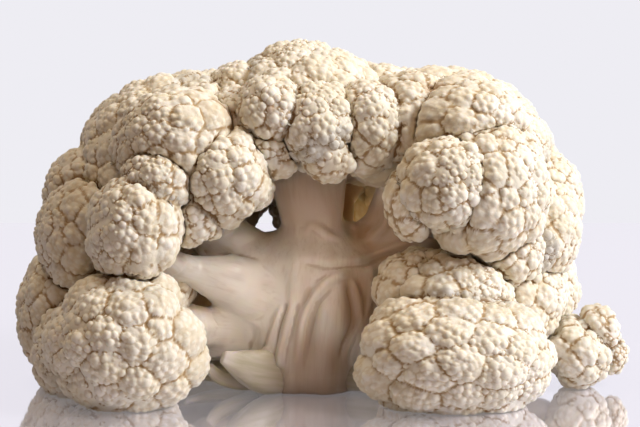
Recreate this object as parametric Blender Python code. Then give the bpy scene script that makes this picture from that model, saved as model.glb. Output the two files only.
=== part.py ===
"""Cauliflower head, standing on its cut stalk, with the front florets broken out.

A thick stalk splits into flattened boughs, each bough splits again into twigs, and
every twig ends in a floret: a dome of knobbly curd on a tapered underside. Neighbouring
florets press against each other along flat contact faces with a hairline gap, and
stubs of the trimmed leaves sit on the foot of the stalk.
The frame is +Z up with its origin on the stalk's cut end, and the open front of the
head looks along -Y. Sizes are written in millimetres.
"""

import math
from typing import NamedTuple

import bmesh
import bpy
import numpy as np
from mathutils import Vector

MM = 0.001  # metres in a millimetre
SEED = 20
CONTACT_GAP = 0.5  # between the contact faces of two florets
SOCKET_GAP = 0.35  # between the stalk and what sits in it
FUSED_OVERLAP = 0.4  # how far a side dome and its floret each reach past their common face
FLOOR_LEVEL = 0.0

# The head round its stalk.
STALK_RINGS = [  # from below the cut end up: x, y, z, radius
    (1, 0, -6, 24.5),
    (1, 0, 4, 23.5),
    (3, 0, 16, 20),
    (4, 0, 30, 20.5),
    (4, 2, 42, 23),
    (5, 4, 51, 17),
    (5, 4, 56, 8),
]
STUMPS = [  # folds along the stalk below florets that were broken out: bottom, top, radius
    ((-11, -16, -6), (-1, -15, 40), 6.5),
    ((6, -18.5, -6), (8, -16, 38), 7.5),
    ((19, -12, -6), (19, -9, 42), 6.0),
    ((-9, 15, -6), (-6, 13, 40), 8.0),
    ((13, 15, -6), (12, 13, 38), 8.0),
]


class Bough(NamedTuple):
    wide: tuple  # the direction that it is wide in
    stations: list  # x, y, z, half width, half thickness, from the stalk to its fork


ACROSS = (1, 0, 0)
DEEP = (0, 1, 0)
UPRIGHT = (0, 0, 1)
BOUGHS = {
    "crown_left": Bough(ACROSS, [(4, 2, 36, 17, 13), (4, -4, 55, 10.5, 9), (1, -3, 74, 14, 9)]),
    "crown_right": Bough(ACROSS, [(12, 4, 36, 14, 12), (28, 2, 55, 9, 8), (34, 0, 70, 9, 7)]),
    "right": Bough(UPRIGHT, [(8, 4, 38, 16, 13), (28, 2, 47, 9, 9), (44, 1, 54, 9, 8)]),
    "right_low": Bough(UPRIGHT, [(8, 0, 24, 12, 11), (30, -4, 25, 8, 7), (50, -6, 28, 7, 7)]),
    "right_front": Bough(UPRIGHT, [(9, -6, 14, 12, 10), (20, -13, 14, 9, 7), (28, -18, 16, 8, 6)]),
    "right_floor": Bough(ACROSS, [(12, 4, 12, 8, 7), (50, 5, 8, 6, 5), (84, -4, 9, 5, 5)]),
    "left": Bough(UPRIGHT, [(-2, 2, 38, 14, 12), (-16, 0, 45, 8.5, 8), (-30, -2, 53, 9, 8)]),
    "left_front": Bough(UPRIGHT, [(-3, -7, 30, 17, 10), (-20, -13, 36, 11, 6), (-42, -22, 44, 4.5, 4.5)]),
    "left_low": Bough(UPRIGHT, [(-7, -4, 22, 10, 9), (-24, -8, 21, 8, 6), (-37, -12, 22, 7, 6)]),
    "left_floor": Bough(DEEP, [(-8, 4, 16, 10, 8), (-34, 8, 15, 7, 7), (-58, 8, 18, 7, 6)]),
    "back": Bough(ACROSS, [(3, 6, 38, 15, 11), (7, 18, 52, 11, 9), (7, 24, 62, 11, 8)]),
    "back_left": Bough(UPRIGHT, [(-6, 8, 30, 10, 9), (-24, 18, 36, 7, 7), (-38, 24, 43, 7, 7)]),
    "back_right": Bough(UPRIGHT, [(9, 8, 30, 10, 9), (24, 20, 34, 8, 7), (38, 26, 40, 7, 7)]),
    "back_low": Bough(ACROSS, [(0, 8, 16, 12, 9), (2, 22, 15, 9, 7), (2, 34, 16, 8, 7)]),
}

# A floret's dome is a cap of a ball that is broader than its radius by its swell:
# broad where florets press on each other, and snug at a free edge.
ROUND = (1, 1, 1)
BROAD = 1.4
SNUG = 1.12


class Floret(NamedTuple):
    bough: str
    middle: tuple
    radius: float
    swell: float = BROAD
    stretch: tuple = ROUND
    host: str = ""  # the floret that it is a side dome of, if it has no twig of its own


FLORETS = {
    "crown": Floret("crown_left", (0, 8, 96), 25),
    "crown_left_back": Floret("crown_left", (-24, 6, 99), 14, host="crown"),
    "crown_front_left": Floret("crown_left", (-11.5, -22, 98), 13, SNUG, host="crown_front"),
    "crown_left_shoulder": Floret("crown_left", (-25, -15, 91), 14),
    "crown_left_fringe": Floret("crown_left", (-14.5, -22, 84), 12, SNUG, (1.2, 1, 0.9),
                                host="crown_left_shoulder"),
    "crown_front": Floret("crown_left", (5, -21, 93), 16, SNUG),
    "crown_front_tip": Floret("crown_left", (8, -25, 85), 10.5, SNUG, host="crown_front"),
    "crown_right_front": Floret("crown_right", (23, -17, 93), 16, SNUG),
    "crown_right_back": Floret("crown_right", (31, 16, 95), 16, host="crown"),
    "crown_right_shoulder": Floret("crown_right", (41, -11, 93), 16, host="crown_right_front"),
    "right_dome": Floret("right", (60, 8, 76), 30),
    "right_outer": Floret("right", (83, 4, 66), 16, host="right_dome"),
    "right_front_knob": Floret("right", (49, -37, 75), 16.5, SNUG),
    "right_front_side": Floret("right", (66, -29, 73), 18, BROAD, (1, 1, 1.1)),
    "right_brow": Floret("right", (60, -20, 91), 16, BROAD, (1.1, 1, 1), host="right_dome"),
    "right_cheek": Floret("right", (80, -10, 57), 17),
    "right_lower_fringe": Floret("right", (72, -22, 52), 13, host="right_cheek"),
    "right_inner_fringe": Floret("right", (38.5, -32, 68.5), 11, SNUG, (1, 1, 1.2), host="right_front_knob"),
    "right_low_side": Floret("right_low", (74, -8, 35), 19),
    "right_low_outer": Floret("right_low", (80, 17, 32), 19),
    "right_low_inner": Floret("right_front", (41, -26, 34), 17, SNUG),
    "right_low_top": Floret("right_front", (58, -32, 33), 15, host="right_low_front"),
    "right_low_front": Floret("right_front", (51, -42, 16.5), 25, SNUG, (1.38, 1, 0.88)),
    "sprig": Floret("right_floor", (96, -8, 12), 13, SNUG),
    "sprig_tip": Floret("right_floor", (103, -7, 19), 8.5, SNUG, (1, 1, 1.15), host="sprig"),
    "sprig_side": Floret("right_floor", (107, -5, 11), 7.5, SNUG, host="sprig"),
    "left_dome": Floret("left", (-54, 8, 75), 29),
    "left_outer": Floret("left", (-78, 3, 67), 15, host="left_dome"),
    "left_brow": Floret("left", (-47, -24, 88), 16, BROAD, (1.1, 1, 1), host="left_dome"),
    "left_top": Floret("left", (-38, -2, 91), 15, host="left_dome"),
    "left_inner": Floret("left", (-28.5, -28, 76.5), 17, SNUG),
    "left_middle": Floret("left", (-51, -34, 74), 14, SNUG, host="left_ball"),
    "left_inner_fringe": Floret("left_front", (-39, -31, 63), 11.5, SNUG, host="left_inner"),
    "left_ball": Floret("left_front", (-57.5, -38, 56), 16.5, SNUG),
    "left_cheek": Floret("left_front", (-79, -12, 54), 15, BROAD, (1, 1, 1.12)),
    "left_low_front": Floret("left_low", (-61, -40, 20.5), 25, SNUG, (1.07, 1, 0.97)),
    "left_low_inner": Floret("left_low", (-50.5, -15, 33), 12.5, SNUG),
    "left_low_outer": Floret("left_floor", (-85, 0, 24), 18, BROAD, (1, 1, 1.2)),
    "left_floor_corner": Floret("left_floor", (-80, -21, 14), 15),
    "back_top_left": Floret("back", (-27, 40, 83), 25),
    "back_top_middle": Floret("back", (3, 46, 86), 21, host="back_top_right"),
    "back_top_right": Floret("back", (33, 43, 82), 25),
    "back_heart": Floret("back", (10, 52, 67), 18),
    "back_inner_left": Floret("back_left", (-41, 50, 50), 16, SNUG),
    "back_side_left": Floret("back_left", (-66, 36, 54), 25),
    "back_side_right": Floret("back_right", (68, 38, 54), 26),
    "back_mid_right": Floret("back_right", (24, 56, 43), 23),
    "back_low_left": Floret("back_low", (-22, 56, 19), 20),
    "back_floor_left": Floret("left_floor", (-62, 36, 20), 22),
    "back_floor_right": Floret("back_right", (56, 46, 18), 23),
    "back_floor_middle": Floret("back_low", (14, 62, 15), 19),
}


class LeafStub(NamedTuple):
    wide: tuple  # the direction that it is wide in
    stations: list  # x, y, z, half width, half thickness, from the stalk to its torn tip


LEAF_STUBS = {
    "front": LeafStub((-0.5, 0, 1), [(-8, -20, 3.5, 7, 3), (-15, -24, 5.5, 6.5, 2.4),
                                     (-22, -27, 9, 3.6, 1.8), (-28.5, -28, 11.5, 1.2, 1)]),
    "curled": LeafStub((0, 0, 1), [(-15, -13, 3.5, 3, 3), (-22, -19, 3.2, 2.6, 2.4),
                                   (-29, -22, 5.5, 2.4, 2.2), (-33, -23, 9.5, 1.8, 1.8)]),
    "left": LeafStub((0, 1, 0.2), [(-17, 0, 4, 8, 3), (-27, -1, 4, 8, 2.2),
                                   (-36, -2, 4.5, 7, 1.6), (-43, -4, 6, 5, 1.1)]),
    "right": LeafStub((0, 0.3, 1), [(16, -16, 5, 5, 4), (23, -20, 5, 4.6, 3.4),
                                    (28, -22, 4.8, 3.5, 2.6)]),
}

# Proportions of the curd.
LOBE_BASE = 4.4  # lobes on a floret of no size would be this far apart
LOBE_GROWTH = 0.31  # and this much further for each millimetre of radius
LOBE_COUNT_SCALE = 0.9  # below 1, lobes lie a little further apart than their spacing
LOBE_FILL = 0.54  # lobe radius in lobe spacings
LOBE_JITTER = 0.14  # how far lobes stray from an even pattern, in spacings
LOBE_SIZES = (0.86, 1.16)
LOBE_RISES = (-0.05, 0.07)  # how far lobes stand proud of the dome, in spacings
LOBE_REACH_DEG = 104  # lobes stop this far round from the dome's top
UNDERSIDE_SHARE = 3  # below the lobes and on contact faces, one spot in this many is kept
CORE_DEPTH = 0.38  # how far creases may go below the crowns, in lobe spacings
RIM_START = 0.05  # where the dome turns in to the underside, as a cosine past the rim
RIM_END = 0.75  # where the underside has its full taper
UNDERSIDE_APEX = 1.75  # where the tapered underside would come to a point, in radii
UNDERSIDE_CUT = 1.02  # where it is cut off flat for its twig, in radii
PRESSED = 0.3  # a lobe that a neighbour cuts back by this many spacings is part of the contact face
LEAST_SHARE = 0.15  # the least room that a neighbour leaves a floret, in radii
HEART_BACK = 10  # the heart, which domes face away from: how far back it is,
HEART_BASE = 8  # and its height, which rises with the floret's own
HEART_RISE = 0.55

# Mesh of the stalk.
STALK_SIDES = 20
BOUGH_SIDES = 12
TWIG_SIDES = 8
LEAF_SIDES = 8
TWIG_WIDE = (0.3, 0.5, 1)  # twigs are nearly round, so this only turns their facets
THINNEST_TWIG = 3.2
TWIG_SHARE = 0.7  # thickness of a twig, as a share of the cut that it ends in
TWIG_ROOT = 1.3  # and how much thicker it is at the fork
TWIG_SUNK = 9  # how far a twig goes into its floret before its socket is cut
BOUGH_END = 0.6  # how much a bough narrows past its fork, where it is rounded off
SMOOTHING_GRAIN = 1.5  # voxel that melts the joints of stalk and boughs together
SMOOTHING_PASSES = 8
STALK_TRIANGLES = 1900  # before the sockets are cut
FLOOR_CUTTER_WIDTH = 240
FLOOR_CUTTER_DEPTH = 20
NEARLY_ZERO = 1e-4


def unit(rows):
    return rows / np.linalg.norm(rows, axis=-1, keepdims=True)


def frame_along(axis):
    """A rotation that takes +Z to axis."""
    return np.array(Vector(axis).to_track_quat("Z", "Y").to_matrix())


def golden_directions(count):
    """Unit vectors spread evenly over the ball on a golden spiral."""
    index = np.arange(count) + 0.5
    polar = np.arccos(1 - 2 * index / count)
    turn = index * math.pi * (3 - math.sqrt(5))
    return np.stack([np.sin(polar) * np.cos(turn), np.sin(polar) * np.sin(turn), np.cos(polar)], axis=1)


def leave_ball(directions, spot, size):
    """How far rays from the middle go before they leave a ball, or 0 where they miss it."""
    along = directions @ spot
    inside = along**2 - spot @ spot + size**2
    return np.where(inside > 0, along + np.sqrt(np.maximum(inside, 0)), 0)


def lobe_spacing(name):
    return LOBE_BASE + LOBE_GROWTH * FLORETS[name].radius


def node_of(name):
    """The floret that a side dome is fused to, or the floret itself."""
    return FLORETS[name].host or name


def floret_axis(name):
    """The direction that a floret grows in: from its bough's fork to its middle."""
    floret = FLORETS[name]
    fork = BOUGHS[floret.bough].stations[-1][:3]
    return unit(np.array(floret.middle, float) - np.array(fork, float))


def dome_of(name):
    """Centre, from the floret's middle, and radius of the ball whose cap is the dome.

    The cap's top stays where a ball of the floret's own radius would have it, so a
    broader dome has its centre deeper in the head.
    """
    floret = FLORETS[name]
    x, y, z = floret.middle
    outward = unit(np.array([x, y - HEART_BACK, z * (1 - HEART_RISE) - HEART_BASE]))
    depth = (floret.swell - 1) * floret.radius
    return -outward * depth / np.array(floret.stretch), floret.radius * floret.swell


def lobes_of(name):
    """Directions, centres and radii of a floret's lobes, and which of them are on its dome.

    They are measured from the floret's middle, before it is stretched.
    """
    dome_centre, dome_radius = dome_of(name)
    spacing = lobe_spacing(name)
    draw = np.random.default_rng([SEED, list(FLORETS).index(name)])
    count = round(4 * math.pi * (dome_radius * LOBE_COUNT_SCALE / spacing) ** 2)
    spots = golden_directions(count)
    spots = unit(spots + draw.normal(0, LOBE_JITTER * spacing / dome_radius, spots.shape))
    on_dome = spots[:, 2] > math.cos(math.radians(LOBE_REACH_DEG))
    spots = spots @ frame_along(floret_axis(name)).T
    sizes = spacing * LOBE_FILL * draw.uniform(*LOBE_SIZES, count)
    rises = spacing * draw.uniform(*LOBE_RISES, count)
    tops = spots * leave_ball(spots, dome_centre, dome_radius)[:, None]
    centres = tops + unit(tops - dome_centre) * (rises - sizes)[:, None]
    return spots, centres, sizes, on_dome


def plane_between(name, other):
    """Normal and distance, from name's middle, of the flat contact face with other, or None."""
    middles, centres, reaches = [], [], []
    pair = (FLORETS[name], FLORETS[other])
    for key, floret in zip((name, other), pair):
        dome_centre, dome_radius = dome_of(key)
        middles.append(np.array(floret.middle, float))
        centres.append(middles[-1] + dome_centre * floret.stretch)
        reaches.append(dome_radius)
    apart = centres[1] - centres[0]
    length = np.linalg.norm(apart)
    normal = apart / length
    near, far = (reach / np.linalg.norm(normal / floret.stretch) for reach, floret in zip(reaches, pair))
    if near + far < length:
        return None
    distance = (length + (near**2 - far**2) / length) / 2 + normal @ (centres[0] - middles[0])
    room = normal @ (middles[1] - middles[0])
    nearest = LEAST_SHARE * pair[0].radius
    furthest = room - LEAST_SHARE * pair[1].radius
    if nearest > furthest:
        nearest = furthest = room * pair[0].radius / (pair[0].radius + pair[1].radius)
    fused = node_of(name) == node_of(other)
    return normal, min(max(distance, nearest), furthest) + (FUSED_OVERLAP if fused else -CONTACT_GAP / 2)


def underside_size(name):
    """Radius of the smooth core under the lobes."""
    return FLORETS[name].radius - CORE_DEPTH * lobe_spacing(name)


def core_reach(name, directions):
    """Reach of the smooth core: the dome above, tapering below to a flat cut for the twig."""
    dome_centre, dome_radius = dome_of(name)
    radius = underside_size(name)
    over = leave_ball(directions, dome_centre, dome_radius - CORE_DEPTH * lobe_spacing(name))
    below = -(directions @ floret_axis(name))
    angle = np.arccos(np.clip(below, -1, 1))
    tangent = math.acos(1 / UNDERSIDE_APEX)
    taper = radius / np.cos(np.maximum(0, tangent - angle))
    rim = np.clip((below + RIM_START) / (RIM_END + RIM_START), 0, 1)
    rim = rim * rim * (3 - 2 * rim)
    taper = taper * (1 + np.maximum(over.max() / taper - 1, 0) * (1 - rim))
    faces_twig = below > NEARLY_ZERO
    cut = UNDERSIDE_CUT * radius / np.where(faces_twig, below, 1)
    return np.minimum(np.minimum(over, taper), np.where(faces_twig, cut, np.inf))


def free_reach(name, directions):
    """Reach of a floret that nothing presses on: the core and the lobes on its dome."""
    reach = core_reach(name, directions)
    _, centres, sizes, on_dome = lobes_of(name)
    for centre, size in zip(centres[on_dome], sizes[on_dome]):
        reach = np.maximum(reach, leave_ball(directions, centre, size))
    return reach


def wall_reach(name, directions, gap=0.0):
    """Reach of the contact faces with neighbours and the floor, grown by gap."""
    floret = FLORETS[name]
    walls = [plane_between(name, other) for other in FLORETS if other != name]
    walls = [wall for wall in walls if wall is not None]
    walls.append((np.array([0, 0, -1]), floret.middle[2] - FLOOR_LEVEL))
    reach = np.full(len(directions), np.inf)
    for normal, distance in walls:
        towards = directions @ (normal * floret.stretch)
        hits = towards > NEARLY_ZERO
        reach = np.minimum(reach, np.where(hits, (distance + gap) / np.where(hits, towards, 1), np.inf))
    return reach


def floret_surface(name, directions, gap=0.0):
    """Points where rays from the floret's middle leave it, grown by gap."""
    floret = FLORETS[name]
    reach = np.minimum(free_reach(name, directions) + gap, wall_reach(name, directions, gap))
    return np.array(floret.middle) + directions * np.array(floret.stretch) * reach[:, None]


def mesh_of_floret(name, gap=0.0):
    """A vertex on each lobe and one in each crease between two of them, on the floret's surface."""
    spots, _, _, on_dome = lobes_of(name)
    pressed = wall_reach(name, spots) < free_reach(name, spots) - PRESSED * lobe_spacing(name)
    spare = np.arange(len(spots)) % UNDERSIDE_SHARE > 0
    shape = bmesh.new()
    for spot in spots[(on_dome & ~pressed) | ~spare]:
        shape.verts.new(spot)
    bmesh.ops.convex_hull(shape, input=shape.verts)
    bmesh.ops.subdivide_edges(shape, edges=shape.edges, cuts=1, use_grid_fill=True)
    bmesh.ops.triangulate(shape, faces=shape.faces)
    directions = unit(np.array([vertex.co for vertex in shape.verts]))
    points = floret_surface(name, directions, gap)
    for vertex, point in zip(shape.verts, points * MM):
        vertex.co = point
    return finished(shape, name)


def finished(shape, name):
    """The bmesh as mesh data, with its faces pointing out."""
    bmesh.ops.recalc_face_normals(shape, faces=shape.faces)
    mesh = bpy.data.meshes.new(name)
    shape.to_mesh(mesh)
    shape.free()
    return mesh


def mesh_of_tube(name, stations, wide, sides, gap=0.0, lowest=-math.inf):
    """A closed tube of elliptical rings through its stations, grown by gap or cut off below."""
    shape = bmesh.new()
    middles = [Vector(station[:3]) for station in stations]
    rings = []
    for place, (middle, station) in enumerate(zip(middles, stations)):
        before = middles[max(place - 1, 0)]
        after = middles[min(place + 1, len(middles) - 1)]
        forward = (after - before).normalized()
        across = (Vector(wide) - forward * forward.dot(Vector(wide))).normalized()
        through = forward.cross(across)
        if place == len(middles) - 1:
            middle = middle + forward * gap
        ring = []
        for step in range(sides):
            turn = 2 * math.pi * step / sides
            offset = across * (station[3] + gap) * math.cos(turn)
            offset += through * (station[4] + gap) * math.sin(turn)
            point = middle + offset
            if not gap:
                point.z = max(point.z, lowest)
            ring.append(shape.verts.new(point * MM))
        rings.append(ring)
    for lower, upper in zip(rings, rings[1:]):
        for step in range(sides):
            following = (step + 1) % sides
            shape.faces.new([lower[step], lower[following], upper[following], upper[step]])
    shape.faces.new(rings[0][::-1])
    shape.faces.new(rings[-1])
    return finished(shape, name)


def smooth_path(stations):
    """The stations with one more between each two, on a smooth curve, and a rounded end."""
    rows = np.array(stations, float)
    ends = np.vstack([2 * rows[0] - rows[1], rows, 2 * rows[-1] - rows[-2]])
    path = []
    for before, start, stop, after in zip(ends, ends[1:], ends[2:], ends[3:]):
        path.append(start)
        path.append((9 * (start + stop) - before - after) / 16)
    path.append(rows[-1])
    tip = rows[-1].copy()
    tip[:3] += unit(rows[-1] - rows[-2])[:3] * rows[-1][4] * BOUGH_END
    tip[3:] *= BOUGH_END
    path.append(tip)
    return path


def twig_stations(name):
    """A twig from its bough's fork to just inside the floret's flat cut."""
    floret = FLORETS[name]
    fork = np.array(BOUGHS[floret.bough].stations[-1][:3], float)
    core = underside_size(name)
    flare = core * (UNDERSIDE_APEX - UNDERSIDE_CUT) * math.tan(math.asin(1 / UNDERSIDE_APEX))
    axis = floret_axis(name)
    tip = np.array(floret.middle) - axis * np.array(floret.stretch) * (UNDERSIDE_CUT * core - TWIG_SUNK)
    thick = max(TWIG_SHARE * flare, THINNEST_TWIG)
    root = TWIG_ROOT * thick
    middle = (fork + tip) / 2
    return [(*fork, root, root), (*middle, thick, thick), (*tip, flare, flare)]


def new_object(name, mesh, collection=None):
    made = bpy.data.objects.new(name, mesh)
    (collection or bpy.context.scene.collection).objects.link(made)
    return made


def new_collection(name):
    made = bpy.data.collections.new(name)
    bpy.context.scene.collection.children.link(made)
    return made


def apply_modifiers(target):
    graph = bpy.context.evaluated_depsgraph_get()
    target.data = bpy.data.meshes.new_from_object(target.evaluated_get(graph))
    target.modifiers.clear()


def apply_boolean(target, operation, collection):
    """Joins the collection's objects to the target, or cuts them from it, and removes them."""
    modifier = target.modifiers.new(operation.lower(), "BOOLEAN")
    modifier.operation = operation
    modifier.operand_type = "COLLECTION"
    modifier.collection = collection
    modifier.solver = "MANIFOLD"
    apply_modifiers(target)
    for helper in list(collection.objects):
        bpy.data.objects.remove(helper)
    bpy.data.collections.remove(collection)


def melt_joints(stalk):
    """Rounds the joints of stalk, boughs and twigs off, as grown flesh is, with few triangles."""
    remesh = stalk.modifiers.new("melt", "REMESH")
    remesh.mode = "VOXEL"
    remesh.voxel_size = SMOOTHING_GRAIN * MM
    smooth = stalk.modifiers.new("smooth", "SMOOTH")
    smooth.factor = 0.5
    smooth.iterations = SMOOTHING_PASSES
    apply_modifiers(stalk)
    stalk.data.calc_loop_triangles()
    thin_out = stalk.modifiers.new("thin out", "DECIMATE")
    thin_out.ratio = STALK_TRIANGLES / len(stalk.data.loop_triangles)
    apply_modifiers(stalk)


def keep_largest_piece(mesh):
    """Drops scraps that a cut left loose, and leaves the body with the most vertices."""
    work = bmesh.new()
    work.from_mesh(mesh)
    unseen = set(work.verts)
    pieces = []
    while unseen:
        piece = {unseen.pop()}
        front = list(piece)
        while front:
            for edge in front.pop().link_edges:
                for vertex in edge.verts:
                    if vertex not in piece:
                        piece.add(vertex)
                        front.append(vertex)
        unseen -= piece
        pieces.append(piece)
    pieces.sort(key=len)
    for piece in pieces[:-1]:
        bmesh.ops.delete(work, geom=list(piece), context="VERTS")
    work.to_mesh(mesh)
    work.free()


def floor_cutter():
    """A slab under the floor, wider than the stalk."""
    slab = bmesh.new()
    bmesh.ops.create_cube(slab, size=1)
    for vertex in slab.verts:
        x, y, z = vertex.co
        vertex.co = Vector((x * FLOOR_CUTTER_WIDTH, y * FLOOR_CUTTER_WIDTH, FLOOR_LEVEL)) * MM
        vertex.co.z += (z - 0.5) * FLOOR_CUTTER_DEPTH * MM
    return finished(slab, "floor_cutter")


def build_floret(name):
    """A floret with its side domes fused on."""
    floret = new_object("floret_" + name, mesh_of_floret(name))
    domes = [other for other in FLORETS if FLORETS[other].host == name]
    if domes:
        joined = new_collection("joined")
        for dome in domes:
            new_object("dome_" + dome, mesh_of_floret(dome), joined)
        apply_boolean(floret, "UNION", joined)
    return floret


def build_stalk():
    """Stalk, folds, boughs and twigs fused into one body, with sockets for florets and leaves."""
    rings = [(x, y, z, radius, radius) for x, y, z, radius in STALK_RINGS]
    stalk = new_object("stalk", mesh_of_tube("stalk", rings, ACROSS, STALK_SIDES))
    joined = new_collection("joined")
    for number, (low, high, radius) in enumerate(STUMPS):
        stations = [(*low, radius, radius), (*high, radius, radius)]
        new_object(f"fold{number}", mesh_of_tube("fold", stations, ACROSS, BOUGH_SIDES), joined)
    for name, bough in BOUGHS.items():
        path = smooth_path(bough.stations)
        new_object("bough_" + name, mesh_of_tube(name, path, bough.wide, BOUGH_SIDES), joined)
    for name in FLORETS:
        if node_of(name) != name:
            continue
        mesh = mesh_of_tube(name, twig_stations(name), TWIG_WIDE, TWIG_SIDES)
        new_object("twig_" + name, mesh, joined)
    apply_boolean(stalk, "UNION", joined)
    melt_joints(stalk)
    sockets = new_collection("sockets")
    new_object("floor_cutter", floor_cutter(), sockets)
    for name in FLORETS:
        new_object("socket_" + name, mesh_of_floret(name, SOCKET_GAP), sockets)
    for name, stub in LEAF_STUBS.items():
        mesh = mesh_of_tube(name, stub.stations, stub.wide, LEAF_SIDES, SOCKET_GAP)
        new_object("slot_" + name, mesh, sockets)
    apply_boolean(stalk, "DIFFERENCE", sockets)
    keep_largest_piece(stalk.data)
    return stalk


def new_material(name, colour, roughness):
    made = bpy.data.materials.new(name)
    made.use_nodes = True
    shader = made.node_tree.nodes["Principled BSDF"]
    shader.inputs["Base Color"].default_value = (*colour, 1)
    shader.inputs["Roughness"].default_value = roughness
    shader.inputs["Metallic"].default_value = 0
    return made


def main():
    for old in list(bpy.data.objects):
        bpy.data.objects.remove(old)
    curd = new_material("curd", (0.80, 0.71, 0.52), 0.6)
    flesh = new_material("stalk_flesh", (0.74, 0.68, 0.58), 0.45)
    leaf = new_material("leaf_stub", (0.55, 0.62, 0.42), 0.4)
    stalk = build_stalk()
    stalk.data.materials.append(flesh)
    for name in FLORETS:
        if node_of(name) == name:
            build_floret(name).data.materials.append(curd)
    for name, stub in LEAF_STUBS.items():
        mesh = mesh_of_tube(name, stub.stations, stub.wide, LEAF_SIDES, lowest=FLOOR_LEVEL)
        new_object("leaf_stub_" + name, mesh).data.materials.append(leaf)


main()
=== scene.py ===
# %% [markdown]
# # A cauliflower head with its front broken out
#
# A cauliflower is a short thick stem that branches again and again, and every branch ends
# in a dome of curd, a floret. This head stands on its cut stem. Some florets were broken
# out at the front, so the branches show in the hollow, and stubs of the trimmed leaves sit
# at the foot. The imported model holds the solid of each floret, of the stalk and of each
# leaf stub. This script makes the same shapes with their fine surface, and lights them.

# %% Load the frame
import math
from typing import NamedTuple

import bmesh
import bpy
import numpy as np
from mathutils import Matrix, Vector
from mathutils.bvhtree import BVHTree


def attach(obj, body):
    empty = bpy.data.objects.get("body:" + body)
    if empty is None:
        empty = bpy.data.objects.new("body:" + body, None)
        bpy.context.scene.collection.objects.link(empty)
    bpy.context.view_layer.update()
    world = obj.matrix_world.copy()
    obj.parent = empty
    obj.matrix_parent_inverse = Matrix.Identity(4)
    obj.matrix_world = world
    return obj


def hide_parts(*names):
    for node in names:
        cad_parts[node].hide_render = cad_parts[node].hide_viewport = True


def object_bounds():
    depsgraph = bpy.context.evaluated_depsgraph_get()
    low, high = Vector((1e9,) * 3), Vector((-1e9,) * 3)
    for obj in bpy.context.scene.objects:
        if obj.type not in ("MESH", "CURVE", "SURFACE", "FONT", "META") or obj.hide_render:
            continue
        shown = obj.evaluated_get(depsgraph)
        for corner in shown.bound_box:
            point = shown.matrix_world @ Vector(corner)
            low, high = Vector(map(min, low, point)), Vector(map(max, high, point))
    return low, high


MM = 0.001  # metres in a millimetre
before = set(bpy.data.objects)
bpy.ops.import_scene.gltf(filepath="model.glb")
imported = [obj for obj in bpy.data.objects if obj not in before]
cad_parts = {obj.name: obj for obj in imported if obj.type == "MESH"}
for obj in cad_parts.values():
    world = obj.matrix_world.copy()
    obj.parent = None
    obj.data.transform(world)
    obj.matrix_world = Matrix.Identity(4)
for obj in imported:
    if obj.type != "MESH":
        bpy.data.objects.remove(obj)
cad_low, cad_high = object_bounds()
print("CAD nodes:", len(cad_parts), "box in mm:", [round(side / MM) for side in cad_high - cad_low])

# %% [markdown]
# ## Camera
#
# The photograph was taken with a long lens from a little above the table, which keeps the
# domes' true proportions. A lens of 143 mm at 0.9 m gives the same framing, and a tilt of
# seven degrees shows as much of the hollow's floor as the photograph does.

# %% Camera
CAMERA_PLACE = (0.00531, -0.88602, 0.16889)
CAMERA_TILT = math.radians(7)
lens = bpy.data.cameras.new("camera")
lens.lens = 143
lens.sensor_width = 36
camera = bpy.data.objects.new("camera", lens)
camera.location = CAMERA_PLACE
camera.rotation_euler = (math.pi / 2 - CAMERA_TILT, 0, 0)
bpy.context.scene.collection.objects.link(camera)
bpy.context.scene.camera = camera
bpy.context.scene.view_settings.view_transform = "Standard"
print("camera height in mm:", round(camera.location.z / MM))

# %% [markdown]
# ## Colours and nodes
#
# Colours are written as the hex values that a paint program shows, and one function turns
# them into the linear values that Blender mixes. A few more add nodes with their settings
# and links, so each material and each geometry tree reads from top to bottom.

# %% Helpers for colours and nodes
def colour(hex_value):
    """A linear RGBA colour from sRGB hex digits."""
    parts = [int(hex_value[place:place + 2], 16) / 255 for place in (0, 2, 4)]
    return [part / 12.92 if part <= 0.04045 else ((part + 0.055) / 1.055) ** 2.4 for part in parts] + [1]


def add(tree, kind, settings=None, inputs=None):
    """Adds a node: settings are its properties, inputs its sockets' values or links."""
    node = tree.nodes.new(kind)
    for key, value in (settings or {}).items():
        setattr(node, key, value)
    for key, value in (inputs or {}).items():
        if isinstance(value, bpy.types.NodeSocket):
            tree.links.new(value, node.inputs[key])
        else:
            node.inputs[key].default_value = value
    return node


def calc(tree, operation, first, second):
    """The result of a math node on two numbers or sockets."""
    return add(tree, "ShaderNodeMath", {"operation": operation}, {0: first, 1: second}).outputs[0]


def scaled(tree, value, low, high, to_low=0.0, to_high=1.0):
    """Brings a value from one range into another, and clamps it there."""
    inputs = {"From Min": low, "From Max": high, "To Min": to_low, "To Max": to_high, "Value": value}
    return add(tree, "ShaderNodeMapRange", inputs=inputs).outputs["Result"]


def start_material(name, values):
    """A material, its tree and its shader, with values for the shader's sockets."""
    made = bpy.data.materials.new(name)
    made.use_nodes = True
    shader = made.node_tree.nodes["Principled BSDF"]
    for key, value in values.items():
        shader.inputs[key].default_value = value
    return made, made.node_tree, shader


print("cream curd in linear light:", [round(part, 2) for part in colour("EFEADD")])

# %% [markdown]
# ## Room
#
# The head stands on a sheet that mirrors it, such as lacquered acrylic. Behind it everything
# is white with a hint of lilac. A world colour is the simplest backdrop, because it looks the
# same from all sides. The camera sees that world, also in the mirror, but rays that light the
# head see a dim brown one, so the shaded side stays brown as in a real room.

# %% Floor and world
BACKDROP = colour("EEEDF3")
AMBIENT = colour("C87C40")
AMBIENT_STRENGTH = 0.08
FLOOR_HALF = 0.45
FLOOR_DROP = -0.0002  # keeps the floor clear of the cut stem
MOST_SCATTERS = 0.5  # rays that a matt surface scattered before have a diffuse depth of 1 or more

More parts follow.
